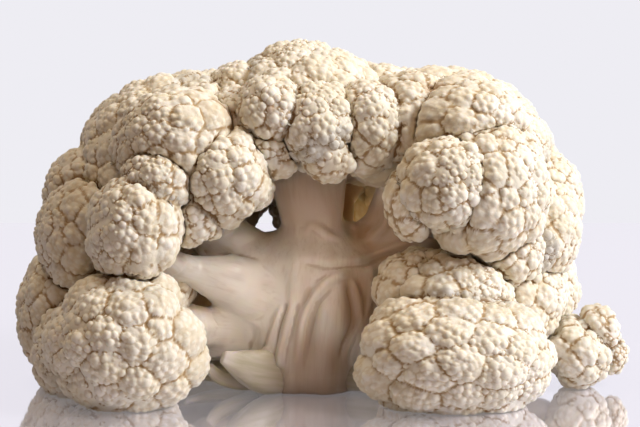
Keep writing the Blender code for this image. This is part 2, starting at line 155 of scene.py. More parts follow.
world = bpy.data.worlds.new("pale room")
bpy.context.scene.world = world
world.use_nodes = True
room = world.node_tree
room.nodes.clear()
ray = add(room, "ShaderNodeLightPath").outputs
pale = add(room, "ShaderNodeBackground", inputs={"Color": BACKDROP, "Strength": 1.0})
dim = add(room, "ShaderNodeBackground", inputs={"Color": AMBIENT, "Strength": AMBIENT_STRENGTH})
looked_at = calc(room, "MAXIMUM", ray["Is Camera Ray"], ray["Is Glossy Ray"])
unscattered = calc(room, "LESS_THAN", ray["Diffuse Depth"], MOST_SCATTERS)
share = calc(room, "MULTIPLY", looked_at, unscattered)
either = add(room, "ShaderNodeMixShader", inputs={0: share, 1: dim.outputs[0], 2: pale.outputs[0]})
add(room, "ShaderNodeOutputWorld", inputs={"Surface": either.outputs[0]})

floor_mesh = bpy.data.meshes.new("floor")
corners = [(-1, -1), (1, -1), (1, 1), (-1, 1)]
floor_mesh.from_pydata([(x * FLOOR_HALF, y * FLOOR_HALF, FLOOR_DROP) for x, y in corners], [], [(0, 1, 2, 3)])
floor = bpy.data.objects.new("floor", floor_mesh)
bpy.context.scene.collection.objects.link(floor)
acrylic, tree, shader = start_material("lacquered pale acrylic", {
    "Base Color": colour("E6E3EB"), "Metallic": 0.85, "Roughness": 0.06,
    "Emission Color": BACKDROP, "Emission Strength": 0.11})
floor_mesh.materials.append(acrylic)
print("floor:", 2 * FLOOR_HALF, "m wide")

# %% [markdown]
# ## Light
#
# Every lamp is a soft panel. The key hangs at the right, above and a little in front, so the
# right domes are nearly white and the left ones brown. The top panel gives the crown and the
# left dome their pale tops, and a weak warm one in front stands for the room. In the hollow,
# where light reaches the flesh from all sides and comes through it, small panels stand in for
# that light: two shine into it from the front, and three glow amber from behind.

# %% Lamps
class Lamp(NamedTuple):
    place: tuple
    aim: tuple
    size: float
    spread: float  # degrees
    power: float
    tint: str


LAMPS = {
    "key": Lamp((0.95, -0.27, 0.75), (0.02, 0, 0.05), 0.5, 180, 17.5, "FDFDFF"),
    "top": Lamp((-0.3, 0.05, 1.15), (0, 0, 0.05), 0.5, 180, 5.5, "FFECD2"),
    "front": Lamp((0.25, -1.15, 0.55), (0, 0, 0.05), 0.6, 180, 0.9, "FFBE78"),
    "hollow": Lamp((0.03, -0.09, 0.06), (-0.02, -0.015, 0.027), 0.03, 30, 0.0022, "FFF0E4"),
    "hollow right": Lamp((-0.01, -0.11, 0.075), (0.022, -0.01, 0.048), 0.03, 36, 0.0014, "FFE6CC"),
    "glow": Lamp((0.022, 0.034, 0.052), (0.02, -0.05, 0.06), 0.012, 180, 0.004, "FFD9A0"),
    "gap glow": Lamp((-0.014, 0.022, 0.07), (-0.02, -0.05, 0.06), 0.012, 180, 0.0012, "FFC98A"),
    "low glow": Lamp((-0.03, 0.02, 0.03), (-0.03, -0.05, 0.03), 0.012, 180, 0.002, "FFC98A"),
}
WITH_HIGHLIGHTS = ("key", "top")  # the others leave no gloss on the head
for name, lamp in LAMPS.items():
    panel = bpy.data.lights.new(name, "AREA")
    panel.shape = "SQUARE"
    panel.size = lamp.size
    panel.spread = math.radians(lamp.spread)
    panel.energy = lamp.power
    panel.color = colour(lamp.tint)[:3]
    holder = bpy.data.objects.new(name, panel)
    holder.location = lamp.place
    aim = Vector(lamp.aim) - Vector(lamp.place)
    holder.rotation_euler = aim.to_track_quat("-Z", "Y").to_euler()
    holder.visible_glossy = name in WITH_HIGHLIGHTS
    holder.visible_camera = False
    bpy.context.scene.collection.objects.link(holder)
    print(name, "panel", lamp.size, "m wide,", lamp.power, "W")

# %% [markdown]
# ## The plan of the head
#
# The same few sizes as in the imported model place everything: the boughs that the stalk
# splits into, and for each floret its bough, its middle and its radius in millimetres. A
# floret's dome is a cap of a larger ball, broad where florets press on each other and snug
# at a free edge. Side domes that have no branch of their own name the floret that they
# belong to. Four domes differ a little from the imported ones, because they then match the
# photograph better: the left ball, the middle one above it, and both at the low right front.

# %% Boughs
BOUGHS = {  # from the stalk to the fork: x, y, z, radius
    "crown_left": [(4, 2, 36, 15), (4, -4, 55, 10), (1, -3, 74, 12)],
    "crown_right": [(12, 4, 36, 13), (28, 2, 55, 8), (34, 0, 70, 8)],
    "right": [(8, 4, 38, 14), (28, 2, 47, 9), (44, 1, 54, 8)],
    "right_low": [(8, 0, 24, 11), (30, -4, 25, 7), (50, -6, 28, 7)],
    "right_front": [(9, -6, 14, 11), (20, -13, 14, 8), (28, -18, 16, 7)],
    "right_floor": [(12, 4, 12, 7), (50, 5, 8, 5), (84, -4, 9, 5)],
    "left": [(-2, 2, 38, 13), (-16, 0, 45, 8), (-30, -2, 53, 8)],
    "left_front": [(-3, -7, 30, 13), (-20, -13, 36, 8), (-42, -22, 44, 4)],
    "left_low": [(-7, -4, 22, 10), (-24, -8, 21, 7), (-37, -12, 22, 6)],
    "left_floor": [(-8, 4, 16, 9), (-34, 8, 15, 7), (-58, 8, 18, 6)],
    "back": [(3, 6, 38, 13), (7, 18, 52, 10), (7, 24, 62, 9)],
    "back_left": [(-6, 8, 30, 10), (-24, 18, 36, 7), (-38, 24, 43, 7)],
    "back_right": [(9, 8, 30, 10), (24, 20, 34, 7), (38, 26, 40, 7)],
    "back_low": [(0, 8, 16, 10), (2, 22, 15, 8), (2, 34, 16, 7)],
}
print("boughs:", len(BOUGHS))

# %% Florets
ROUND = (1, 1, 1)
BROAD = 1.4
SNUG = 1.12


class Floret(NamedTuple):
    bough: str
    middle: tuple
    radius: float
    swell: float = BROAD
    stretch: tuple = ROUND
    host: str = ""  # the floret that it is a side dome of, if it has no twig of its own


FLORETS = {
    "crown": Floret("crown_left", (0, 8, 96), 25),
    "crown_left_back": Floret("crown_left", (-24, 6, 99), 14, host="crown"),
    "crown_front_left": Floret("crown_left", (-11.5, -22, 98), 13, SNUG, host="crown_front"),
    "crown_left_shoulder": Floret("crown_left", (-25, -15, 91), 14),
    "crown_left_fringe": Floret("crown_left", (-14.5, -22, 84), 12, SNUG, (1.2, 1, 0.9),
                                host="crown_left_shoulder"),
    "crown_front": Floret("crown_left", (5, -21, 93), 16, SNUG),
    "crown_front_tip": Floret("crown_left", (8, -25, 85), 10.5, SNUG, host="crown_front"),
    "crown_right_front": Floret("crown_right", (23, -17, 93), 16, SNUG),
    "crown_right_back": Floret("crown_right", (31, 16, 95), 16, host="crown"),
    "crown_right_shoulder": Floret("crown_right", (41, -11, 93), 16, host="crown_right_front"),
    "right_dome": Floret("right", (60, 8, 76), 30),
    "right_outer": Floret("right", (83, 4, 66), 16, host="right_dome"),
    "right_front_knob": Floret("right", (49, -37, 75), 16.5, SNUG),
    "right_front_side": Floret("right", (66, -29, 73), 18, BROAD, (1, 1, 1.1)),
    "right_brow": Floret("right", (60, -20, 91), 16, BROAD, (1.1, 1, 1), host="right_dome"),
    "right_cheek": Floret("right", (80, -10, 57), 17),
    "right_lower_fringe": Floret("right", (72, -22, 52), 13, host="right_cheek"),
    "right_inner_fringe": Floret("right", (38.5, -32, 68.5), 11, SNUG, (1, 1, 1.2), host="right_front_knob"),
    "right_low_side": Floret("right_low", (74, -8, 35), 19),
    "right_low_outer": Floret("right_low", (80, 17, 32), 19),
    "right_low_inner": Floret("right_front", (41, -26, 34), 17, SNUG),
    "right_low_top": Floret("right_front", (54, -33, 33), 15, BROAD, (1.15, 1, 1), host="right_low_front"),
    "right_low_front": Floret("right_front", (51, -42, 16.5), 25, SNUG, (1.32, 1, 0.88)),
    "sprig": Floret("right_floor", (96, -8, 12), 13, SNUG),
    "sprig_tip": Floret("right_floor", (103, -7, 19), 8.5, SNUG, (1, 1, 1.15), host="sprig"),
    "sprig_side": Floret("right_floor", (107, -5, 11), 7.5, SNUG, host="sprig"),
    "left_dome": Floret("left", (-54, 8, 75), 29),
    "left_outer": Floret("left", (-78, 3, 67), 15, host="left_dome"),
    "left_brow": Floret("left", (-47, -24, 88), 16, BROAD, (1.1, 1, 1), host="left_dome"),
    "left_top": Floret("left", (-38, -2, 91), 15, host="left_dome"),
    "left_inner": Floret("left", (-28.5, -28, 76.5), 17, SNUG),
    "left_middle": Floret("left", (-50, -33.5, 75), 13.5, SNUG, host="left_ball"),
    "left_inner_fringe": Floret("left_front", (-39, -31, 63), 11.5, SNUG, host="left_inner"),
    "left_ball": Floret("left_front", (-57.5, -38, 59), 16.5, SNUG, (1, 1, 1.17)),
    "left_cheek": Floret("left_front", (-79, -12, 54), 15, BROAD, (1, 1, 1.12)),
    "left_low_front": Floret("left_low", (-61, -40, 20.5), 25, SNUG, (1.07, 1, 0.97)),
    "left_low_inner": Floret("left_low", (-50.5, -15, 33), 12.5, SNUG),
    "left_low_outer": Floret("left_floor", (-85, 0, 24), 18, BROAD, (1, 1, 1.2)),
    "left_floor_corner": Floret("left_floor", (-80, -21, 14), 15),
    "back_top_left": Floret("back", (-27, 40, 83), 25),
    "back_top_middle": Floret("back", (3, 46, 86), 21, host="back_top_right"),
    "back_top_right": Floret("back", (33, 43, 82), 25),
    "back_heart": Floret("back", (10, 52, 67), 18),
    "back_inner_left": Floret("back_left", (-41, 50, 50), 16, SNUG),
    "back_side_left": Floret("back_left", (-66, 36, 54), 25),
    "back_side_right": Floret("back_right", (68, 38, 54), 26),
    "back_mid_right": Floret("back_right", (24, 56, 43), 23),
    "back_low_left": Floret("back_low", (-22, 56, 19), 20),
    "back_floor_left": Floret("left_floor", (-62, 36, 20), 22),
    "back_floor_right": Floret("back_right", (56, 46, 18), 23),
    "back_floor_middle": Floret("back_low", (14, 62, 15), 19),
}
print("domes of curd:", len(FLORETS), "in", sum(not floret.host for floret in FLORETS.values()), "florets")

# %% [markdown]
# ## Shape of a floret
#
# A floret is a dome on a tapered underside, and wherever it meets a neighbour it is pressed
# flat. The easiest way to hold all that in one formula is to ask, for each direction from
# the floret's middle, how far a ray goes before it leaves the floret. Lobes are balls that
# the ray may also have to leave, and a neighbour is a plane that stops it early. It is the
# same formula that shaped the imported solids, with the same seed, so the large lobes fall
# where the solids have them.

# %% Directions
def unit(rows):
    return rows / np.linalg.norm(rows, axis=-1, keepdims=True)


def frame_along(axis):
    """A rotation that takes +Z to axis."""
    return np.array(Vector(axis).to_track_quat("Z", "Y").to_matrix())


def golden_directions(count):
    """Unit vectors spread evenly over the ball on a golden spiral."""
    index = np.arange(count) + 0.5
    polar = np.arccos(1 - 2 * index / count)
    turn = index * math.pi * (3 - math.sqrt(5))
    return np.stack([np.sin(polar) * np.cos(turn), np.sin(polar) * np.sin(turn), np.cos(polar)], axis=1)


def leave_ball(directions, spot, size):
    """How far rays from the middle go before they leave a ball, or 0 where they miss it."""
    along = directions @ spot
    inside = along**2 - spot @ spot + size**2
    return np.where(inside > 0, along + np.sqrt(np.maximum(inside, 0)), 0)


def smooth_step(low, high, values):
    share = np.clip((values - low) / (high - low), 0, 1)
    return share * share * (3 - 2 * share)


print("seven even directions:", golden_directions(7).round(1).tolist())

# %% Where a floret sits
SEED = 20
CONTACT_GAP = 0.5
FUSED_OVERLAP = 0.4
LEAST_SHARE = 0.15  # the least room that a neighbour leaves a floret, in radii
HEART_BACK = 10  # the heart, which domes face away from: how far back it is,
HEART_BASE = 8  # and its height, which rises with the floret's own
HEART_RISE = 0.55


def node_of(name):
    return FLORETS[name].host or name


def floret_axis(name):
    """The direction that a floret grows in: from its bough's fork to its middle."""
    fork = BOUGHS[FLORETS[name].bough][-1][:3]
    return unit(np.array(FLORETS[name].middle, float) - np.array(fork, float))


def outward_of(name):
    """The direction that a dome faces in, away from the head's heart."""
    x, y, z = FLORETS[name].middle
    return unit(np.array([x, y - HEART_BACK, z * (1 - HEART_RISE) - HEART_BASE]))


def dome_of(name):
    """Centre, from the floret's middle, and radius of the ball whose cap is the dome."""
    floret = FLORETS[name]
    depth = (floret.swell - 1) * floret.radius
    return -outward_of(name) * depth / np.array(floret.stretch), floret.radius * floret.swell


def plane_between(name, other):
    """Normal and distance, from name's middle, of the flat contact face with other, or None."""
    middles, centres, reaches = [], [], []
    pair = (FLORETS[name], FLORETS[other])
    for key, floret in zip((name, other), pair):
        dome_centre, dome_radius = dome_of(key)
        middles.append(np.array(floret.middle, float))
        centres.append(middles[-1] + dome_centre * floret.stretch)
        reaches.append(dome_radius)
    apart = centres[1] - centres[0]
    length = np.linalg.norm(apart)
    normal = apart / length
    near, far = (reach / np.linalg.norm(normal / floret.stretch) for reach, floret in zip(reaches, pair))
    if near + far < length:
        return None
    distance = (length + (near**2 - far**2) / length) / 2 + normal @ (centres[0] - middles[0])
    room_between = normal @ (middles[1] - middles[0])
    nearest = LEAST_SHARE * pair[0].radius
    furthest = room_between - LEAST_SHARE * pair[1].radius
    if nearest > furthest:
        nearest = furthest = room_between * pair[0].radius / (pair[0].radius + pair[1].radius)
    fused = node_of(name) == node_of(other)
    return normal, min(max(distance, nearest), furthest) + (FUSED_OVERLAP if fused else -CONTACT_GAP / 2)


NEIGHBOURS = {
    name: {other: wall for other in FLORETS if other != name and (wall := plane_between(name, other))}
    for name in FLORETS
}
print("the crown is pressed by", len(NEIGHBOURS["crown"]), "domes")

# %% [markdown]
# ### Lobes and flutes
#
# Curd repeats itself at every scale. A dome is made of lobes a centimetre wide, each lobe of
# lumps, and each lump of grains. Lobes are balls in the formula above; the finer scales come
# later. Under its edge a floret shows the ends of its branches, which run down as flutes.

# %% Lobes
LOBE_BASE = 4.4
LOBE_GROWTH = 0.31
LOBE_COUNT_SCALE = 0.9
LOBE_FILL = 0.88
LOBE_JITTER = 0.14
LOBE_SIZES = (0.8, 1.2)
LOBE_RISES = (-0.05, 0.07)
LOBE_REACH_DEG = 116
CORE_DEPTH = 0.3
GRAIN_ROOM = 1.1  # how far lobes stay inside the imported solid, for the lumps to come


def lobes_of(name):
    """Centres and radii of a floret's lobes, from its middle, before it is stretched."""
    dome_centre, dome_radius = dome_of(name)
    spacing = LOBE_BASE + LOBE_GROWTH * FLORETS[name].radius
    draw = np.random.default_rng([SEED, list(FLORETS).index(name)])
    count = round(4 * math.pi * (dome_radius * LOBE_COUNT_SCALE / spacing) ** 2)
    spots = golden_directions(count)
    spots = unit(spots + draw.normal(0, LOBE_JITTER * spacing / dome_radius, spots.shape))
    on_dome = spots[:, 2] > math.cos(math.radians(LOBE_REACH_DEG))
    spots = spots @ frame_along(floret_axis(name)).T
    sizes = spacing * LOBE_FILL * draw.uniform(*LOBE_SIZES, count)
    rises = spacing * draw.uniform(*LOBE_RISES, count) - GRAIN_ROOM
    tops = spots * leave_ball(spots, dome_centre, dome_radius)[:, None]
    centres = tops + unit(tops - dome_centre) * (rises - sizes)[:, None]
    return centres[on_dome], sizes[on_dome]


LOBES = {name: lobes_of(name) for name in FLORETS}
print("the crown has", len(LOBES["crown"][0]), "lobes")

# %% Reach of a ray
RIM_START = 0.05
RIM_END = 0.75
UNDERSIDE_APEX = 1.75
UNDERSIDE_CUT = 1.02
NEARLY_ZERO = 1e-4
FLUTES = 9
FLUTE_DEPTH = 0.06
FLUTE_WANDER = 1.3  # how unevenly the flutes are spread, in radians
EDGE_SOFTNESS = 2.4  # how close to a neighbour's surface a floret starts to round off
EDGE_ROLL = 0.9  # and how far it is rounded off where they meet
JOIN_WIDTH = 1.8
OWN_JOIN = 0.6  # share of that width between two domes of one floret
BARE_FROM, BARE_BELOW = 0.3, 0.5  # cosines from the twig between which the underside turns bare
PRESSED_BELOW, FREE_FROM = -1.2, -0.2  # mm that a neighbour moves the skin by, where balls end
CREST_HEIGHT = 2.0
CREASE_HEIGHT = 0.7
MOST_ROOM = 20


def underside_size(name):
    floret = FLORETS[name]
    return floret.radius - CORE_DEPTH * (LOBE_BASE + LOBE_GROWTH * floret.radius)


def core_reach(name, directions):
    """Reach of the smooth core: the dome above, and below it a fluted taper with a flat end."""
    dome_centre, dome_radius = dome_of(name)
    axis = floret_axis(name)
    radius = underside_size(name)
    spacing = LOBE_BASE + LOBE_GROWTH * FLORETS[name].radius
    inner_radius = dome_radius - CORE_DEPTH * spacing - GRAIN_ROOM
    over = leave_ball(directions, dome_centre, inner_radius)
    farthest = np.linalg.norm(dome_centre) + inner_radius
    below = -(directions @ axis)
    angle = np.arccos(np.clip(below, -1, 1))
    tangent = math.acos(1 / UNDERSIDE_APEX)
    taper = radius / np.cos(np.maximum(0, tangent - angle))
    local = directions @ frame_along(axis)
    turn = np.arctan2(local[:, 1], local[:, 0])
    flutes = np.abs(np.sin(turn * FLUTES / 2 + FLUTE_WANDER * np.sin(2 * turn)))
    rim = smooth_step(-RIM_START, RIM_END, below)
    taper = taper * (1 + np.maximum(farthest / taper - 1, 0) * (1 - rim))
    taper = taper * (1 - FLUTE_DEPTH * (1 - flutes) * smooth_step(0, 0.5, below))
    faces_twig = below > NEARLY_ZERO
    cut = UNDERSIDE_CUT * radius / np.where(faces_twig, below, 1)
    return np.minimum(np.minimum(over, taper), np.where(faces_twig, cut, np.inf))


def lobe_tops(name, directions):
    """Reach of the highest lobe under each ray, and of the next one."""
    top = np.zeros(len(directions))
    following = np.zeros(len(directions))
    for centre, size in zip(*LOBES[name]):
        reach = leave_ball(directions, centre, size)
        following = np.maximum(following, np.minimum(top, reach))
        top = np.maximum(top, reach)
    return top, following


def open_reach(name, directions):
    """Reach of a floret that nothing presses on: the core and the lobes."""
    return np.maximum(core_reach(name, directions), lobe_tops(name, directions)[0])


def depth_in(name, points):
    """How far points lie inside a floret that nothing presses on, in mm."""
    floret = FLORETS[name]
    offset = (points - floret.middle) / np.array(floret.stretch)
    away = np.linalg.norm(offset, axis=1)
    return open_reach(name, offset / np.maximum(away, NEARLY_ZERO)[:, None]) - away


class Skin(NamedTuple):
    reach: np.ndarray  # how far the surface is from the middle
    room: np.ndarray  # how far lumps may rise above it
    free: np.ndarray  # 1 on open curd, 0 on contact faces and on the underside
    crest: np.ndarray  # 0 in the crease between two lobes, 1 on top of a lobe
    crease: np.ndarray  # 1 in the bottom of that crease
    join: np.ndarray  # 1 where another floret touches
    bare: np.ndarray  # 1 on the underside


def floret_skin(name, directions):
    """A floret among its neighbours.

    A neighbour's contact face stops a ray only where the ray would end inside that
    neighbour. Elsewhere the dome runs on, so two domes always meet in a narrow crease.
    """
    floret = FLORETS[name]
    core = core_reach(name, directions)
    top, following = lobe_tops(name, directions)
    curd = np.maximum(core, top)
    tips = floret.middle + directions * np.array(floret.stretch) * curd[:, None]
    down = -directions[:, 2] * floret.stretch[2]
    stop = np.where(down > NEARLY_ZERO, floret.middle[2] / np.where(down > NEARLY_ZERO, down, 1), np.inf)
    roll = np.zeros(len(directions))
    join = np.zeros(len(directions))
    for other, (normal, distance) in NEIGHBOURS[name].items():
        near = (tips - floret.middle) @ normal > distance - EDGE_SOFTNESS
        depth = np.full(len(directions), -np.inf)
        depth[near] = depth_in(other, tips[near])
        roll = np.maximum(roll, EDGE_ROLL * smooth_step(-EDGE_SOFTNESS, 0, depth))
        width = JOIN_WIDTH * (OWN_JOIN if node_of(other) == node_of(name) else 1)
        join = np.maximum(join, smooth_step(-width, 0, depth))
        towards = directions @ (normal * floret.stretch)
        stopped = (depth > 0) & (towards > NEARLY_ZERO)
        stop = np.minimum(stop, np.where(stopped, distance / np.where(stopped, towards, 1), np.inf))
    reach = np.minimum(curd - roll, stop)
    below = -(directions @ floret_axis(name))
    bare = smooth_step(BARE_FROM, BARE_BELOW, below) * (curd <= core + NEARLY_ZERO)
    free = smooth_step(PRESSED_BELOW, FREE_FROM, reach - curd + roll) * (1 - bare)
    proud = top - np.maximum(following, core)
    crest = smooth_step(0, CREST_HEIGHT, proud)
    crease = 1 - smooth_step(0, CREASE_HEIGHT, proud)
    return Skin(reach, np.minimum(stop - reach, MOST_ROOM), free, crest, crease, join, bare)


skin = floret_skin("left_ball", golden_directions(500))
print("the left ball reaches", skin.reach.min().round(1), "to", skin.reach.max().round(1), "mm")
print("share of it that is open curd:", skin.free.mean().round(2))

# %% [markdown]
# ### From rays to a mesh
#
# The grids on the six sides of a cube, blown up to a ball, give evenly spread rays in any
# number. Sliding them towards the side that a dome faces puts more of them where the curd
# shows, and fewer on the hidden faces. All domes of one floret go into one mesh, and what
# the later steps need to know of each point goes with it as attributes.

# %% Base mesh of a floret
POLE_PULL = 0.45
CELLS_PER_MM = 2.9  # rows of a cube side's grid for each millimetre of radius


def cube_directions(cells):
    """Directions through the grid corners of a cube's six sides, and the grids' squares."""
    turns = np.tan(np.linspace(-math.pi / 4, math.pi / 4, cells + 1))
    along, across = [side.ravel() for side in np.meshgrid(turns, turns, indexing="ij")]
    corner = (np.arange(cells)[:, None] * (cells + 1) + np.arange(cells)).ravel()
    square = np.stack([corner, corner + cells + 1, corner + cells + 2, corner + 1], axis=1)
    spots, squares = [], []
    for axis in range(3):
        for side in (1, -1):
            face = np.zeros((len(along), 3))
            face[:, axis] = side
            face[:, (axis + 1) % 3] = along
            face[:, (axis + 2) % 3] = across * side
            squares.append(square + len(spots) * len(along))
            spots.append(face)
    rays, places = np.unique(unit(np.concatenate(spots)).round(7), axis=0, return_inverse=True)
    return rays, places.ravel()[np.concatenate(squares)]


def pulled_towards(pole, directions):
    """The directions, slid towards the pole, where they then lie closer together."""
    along = np.clip(directions @ pole, -1, 1)
    angle = np.arccos(along)
    angle = angle - POLE_PULL * np.sin(angle)
    aside = directions - along[:, None] * pole
    aside = aside / np.maximum(np.linalg.norm(aside, axis=1, keepdims=True), NEARLY_ZERO)
    return unit(np.cos(angle)[:, None] * pole + np.sin(angle)[:, None] * aside)


def domes_of(node):
    return [name for name in FLORETS if node_of(name) == node]


def put(mesh, name, values):
    mesh.attributes.new(name, "FLOAT", "POINT").data.foreach_set("value", values.astype(np.float32))


def put_vectors(mesh, name, values):
    made = mesh.attributes.new(name, "FLOAT_VECTOR", "POINT").data
    made.foreach_set("vector", values.astype(np.float32).ravel())


def base_mesh(node):
    """All domes of a floret in one mesh, with what is known of each point as attributes."""
    points, squares, outward, skins = [], [], [], []
    for name in domes_of(node):
        floret = FLORETS[name]
        rays, faces = cube_directions(round(CELLS_PER_MM * floret.radius))
        rays = pulled_towards(outward_of(name), rays)
        skin = floret_skin(name, rays)
        squares.append(faces + sum(len(part) for part in points))
        points.append(np.array(floret.middle) + rays * np.array(floret.stretch) * skin.reach[:, None])
        outward.append(unit(rays * np.array(floret.stretch)))
        skins.append(skin)
    mesh = bpy.data.meshes.new(node)
    mesh.from_pydata((np.concatenate(points) * MM).tolist(), [], np.concatenate(squares).tolist())
    put_vectors(mesh, "outward", np.concatenate(outward))
    put(mesh, "room", np.concatenate([skin.room for skin in skins]) * MM)
    for mark in ("free", "crest", "crease", "join", "bare"):
        put(mesh, mark, np.concatenate([getattr(skin, mark) for skin in skins]))
    return mesh


print("a grid of 2 cells a side gives", len(cube_directions(2)[0]), "rays")

# %% [markdown]
# ## Materials
#
# Curd is a mass of pale flower buds: a moist, dense, slightly translucent white. Light goes a
# few millimetres into it, which softens every shadow, so it needs subsurface scattering. Its
# creases get painted shade, ochre to brown, from attributes of the mesh: how hollow a spot
# is, where one lump meets the next, where two lobes do, and how close it lies to a neighbour
# floret.

# %% Curd
def attribute(tree, name):
    """The value of a mesh attribute."""
    return add(tree, "ShaderNodeAttribute", {"attribute_name": name}).outputs["Fac"]


def tint(tree, base, colour_on_top, share):
    """Mixes a colour over another by a share."""
    inputs = {"Factor": share, 6: base, 7: colour_on_top}
    return add(tree, "ShaderNodeMix", {"data_type": "RGBA"}, inputs).outputs[2]


def noise(tree, place, size, detail=2.0):
    """Noise with blobs of about size millimetres."""
    inputs = {"Vector": place, "Scale": 1 / (size * MM), "Detail": detail}
    return add(tree, "ShaderNodeTexNoise", inputs=inputs).outputs[0]


def bump(tree, shader, height, strength, distance):
    """Gives a shader relief from a height, which is distance millimetres at its most."""
    inputs = {"Height": height, "Strength": strength, "Distance": distance * MM}
    tree.links.new(add(tree, "ShaderNodeBump", inputs=inputs).outputs[0], shader.inputs["Normal"])


curd, tree, shader = start_material("cauliflower curd", {
    "Roughness": 0.55, "IOR": 1.4, "Subsurface Weight": 0.25,
    "Subsurface Radius": (1.0, 0.75, 0.45), "Subsurface Scale": 1.5 * MM})
place = add(tree, "ShaderNodeTexCoord").outputs["Object"]
cream = tint(tree, colour("EFEADD"), colour("E6DEC9"), scaled(tree, noise(tree, place, 9), 0.35, 0.65))
hollow, seam = attribute(tree, "hollow"), attribute(tree, "seam")
# The last two numbers of each line are the least and the most that the colour covers.
# painted shade: ochre in the seams between balls and in hollows, darker brown in the creases between lobes
# and where florets meet
cream = tint(tree, cream, colour("C2A158"), scaled(tree, seam, 0.4, 1.0, 0, 0.26))
cream = tint(tree, cream, colour("BC9A52"), scaled(tree, hollow, 0.5, 1.0, 0, 0.4))
for mark, sign, deep, strength in (("crease", seam, "976F2E", 0.75), ("join", hollow, "7C5722", 0.9)):
    creased = calc(tree, "MULTIPLY", attribute(tree, mark), sign)
    cream = tint(tree, cream, colour(deep), scaled(tree, creased, 0.15, 0.8, 0, strength))
for mark, shade in (("bare", "DDD2C0"), ("bruise", "A97F55")):
    cream = tint(tree, cream, colour(shade), attribute(tree, mark))
tree.links.new(cream, shader.inputs["Base Color"])
cells = add(tree, "ShaderNodeTexVoronoi", inputs={"Vector": place, "Scale": 1 / (1.5 * MM)})
buds = calc(tree, "MULTIPLY", calc(tree, "POWER", cells.outputs["Distance"], 2.0), -1.0)
bump(tree, shader, buds, 0.35, 0.35)
print(curd.name, "has", len(tree.nodes), "nodes")

# %% [markdown]
# The stem's flesh is firm, wet and waxy. It scatters light deeper than curd does, so thin
# edges glow a warm orange when light comes from behind; that glow, with the shade in the
# hollow, is also painted on as an orange brown, and the grooves get painted shade. Fine
# fibres run along every branch. They follow the attribute fibre, which holds each point's
# place as seen along its own branch.

# %% Stalk flesh
flesh, tree, shader = start_material("cauliflower stem flesh", {
    "Roughness": 0.28, "IOR": 1.38, "Subsurface Weight": 0.35,
    "Subsurface Radius": (1.0, 0.55, 0.25), "Subsurface Scale": 3 * MM})
strands = add(tree, "ShaderNodeAttribute", {"attribute_name": "fibre"}).outputs["Vector"]
fine, coarse = noise(tree, strands, 1.1, 3.0), noise(tree, strands, 5)
sure = attribute(tree, "sure")
ivory = colour("E2DDD4")
for pattern, deep, low, high, strength in (
        (coarse, "D0C4B8", 0.4, 0.75, 0.8), (fine, "BDAE9C", 0.5, 0.8, 0.45)):
    share = calc(tree, "MULTIPLY", scaled(tree, pattern, low, high), sure)
    ivory = tint(tree, ivory, colour(deep), scaled(tree, share, 0, 1, 0, strength))
# painted shade: the stalk's grooves and hollows darken to brown
ivory = tint(tree, ivory, colour("9A7B58"), scaled(tree, attribute(tree, "hollow"), 0.35, 1.0, 0, 0.42))
# painted glow and shade: orange brown where light would come through the flesh and where the hollow lies in
# shade
ivory = tint(tree, ivory, colour("B08A62"), scaled(tree, attribute(tree, "painted_glow_and_shade"), 0, 1, 0, 0.85))
# painted shade: brown at the foot of the stalk, where it stands on the floor, fading out over its lowest 6 mm
place = add(tree, "ShaderNodeTexCoord").outputs["Object"]
height = add(tree, "ShaderNodeSeparateXYZ", inputs={0: place}).outputs["Z"]
ivory = tint(tree, ivory, colour("8A6A4C"), scaled(tree, height, 0, 6 * MM, 0.6, 0))
tree.links.new(ivory, shader.inputs["Base Color"])
bump(tree, shader, fine, 0.18, 0.5)
print(flesh.name, "has", len(tree.nodes), "nodes")

# %% [markdown]
# A leaf stub is the torn base of a leaf's midrib: pale, hardly green, juicy and smooth, and
# whitish where it was torn.

# %% Leaf stubs
leaf, tree, shader = start_material("torn leaf base", {
    "Roughness": 0.35, "IOR": 1.38, "Subsurface Weight": 0.4,
    "Subsurface Radius": (0.8, 1.0, 0.4), "Subsurface Scale": 3 * MM})
strands = add(tree, "ShaderNodeAttribute", {"attribute_name": "fibre"}).outputs["Vector"]
fine = noise(tree, strands, 1.3)
green = tint(tree, colour("CDC5B6"), colour("BFB8A0"), scaled(tree, fine, 0.35, 0.65))
green = tint(tree, green, colour("E8E2DA"), attribute(tree, "torn"))
tree.links.new(green, shader.inputs["Base Color"])
bump(tree, shader, fine, 0.25, 0.4)
print(leaf.name, "has", len(tree.nodes), "nodes")

# %% [markdown]
# ## Lumps and grains by Geometry Nodes
#
# On each lobe sit round lumps, between the lumps pebbles, and in the creases small grains.
# Geometry Nodes grow all three in the same way: points an even distance apart on the open
# curd, and at each a ball of random size, part of it sunk. Then every point of the floret's
# mesh looks down from outside along its ray and lands on the first ball that it meets. It
# takes over that ball's number, which later tells where a thin seam runs from one ball to the
# next. The balls themselves are dropped, so one skin with crisp creases is left.

# %% Crops of balls
class Crop(NamedTuple):
    spacing: float  # mm
    smallest: float  # radius in mm
    largest: float
    sunk: float  # share of the radius
    detail: int  # subdivisions of the ball
    in_crease: float  # how many grow in a crease between lobes, as a share
    on_crest: float  # and how many on top of a lobe
    in_smooth: float  # and how many in the patches where the curd is smooth


CROPS = {
    "Lump": Crop(4.3, 2.3, 3.2, 0.74, 3, 0.0, 1.0, 0.9),
    "Pebble": Crop(2.5, 1.6, 2.15, 0.67, 3, 0.8, 1.0, 0.9),
    "Grain": Crop(1.7, 0.8, 1.1, 0.5, 2, 1.0, 0.7, 0.3),
}
LOOK_FROM = 5.0
NUMBERS_APART = 100000.0  # so that no two balls of a floret have the same number
SEEDS_APART = 100.0
LEAST_FREE = 0.02  # share of open curd from which a point may move
CREASE_PLACE, CREST_PLACE = 0.15, 0.7  # values of the crest attribute
SMOOTH_NOISE, ROUGH_NOISE = 0.42, 0.6  # values of the noise that spreads the smooth patches
DENSITY = 3.0  # more points than the spacing lets stay
SMOOTH_PATCH = 16.0


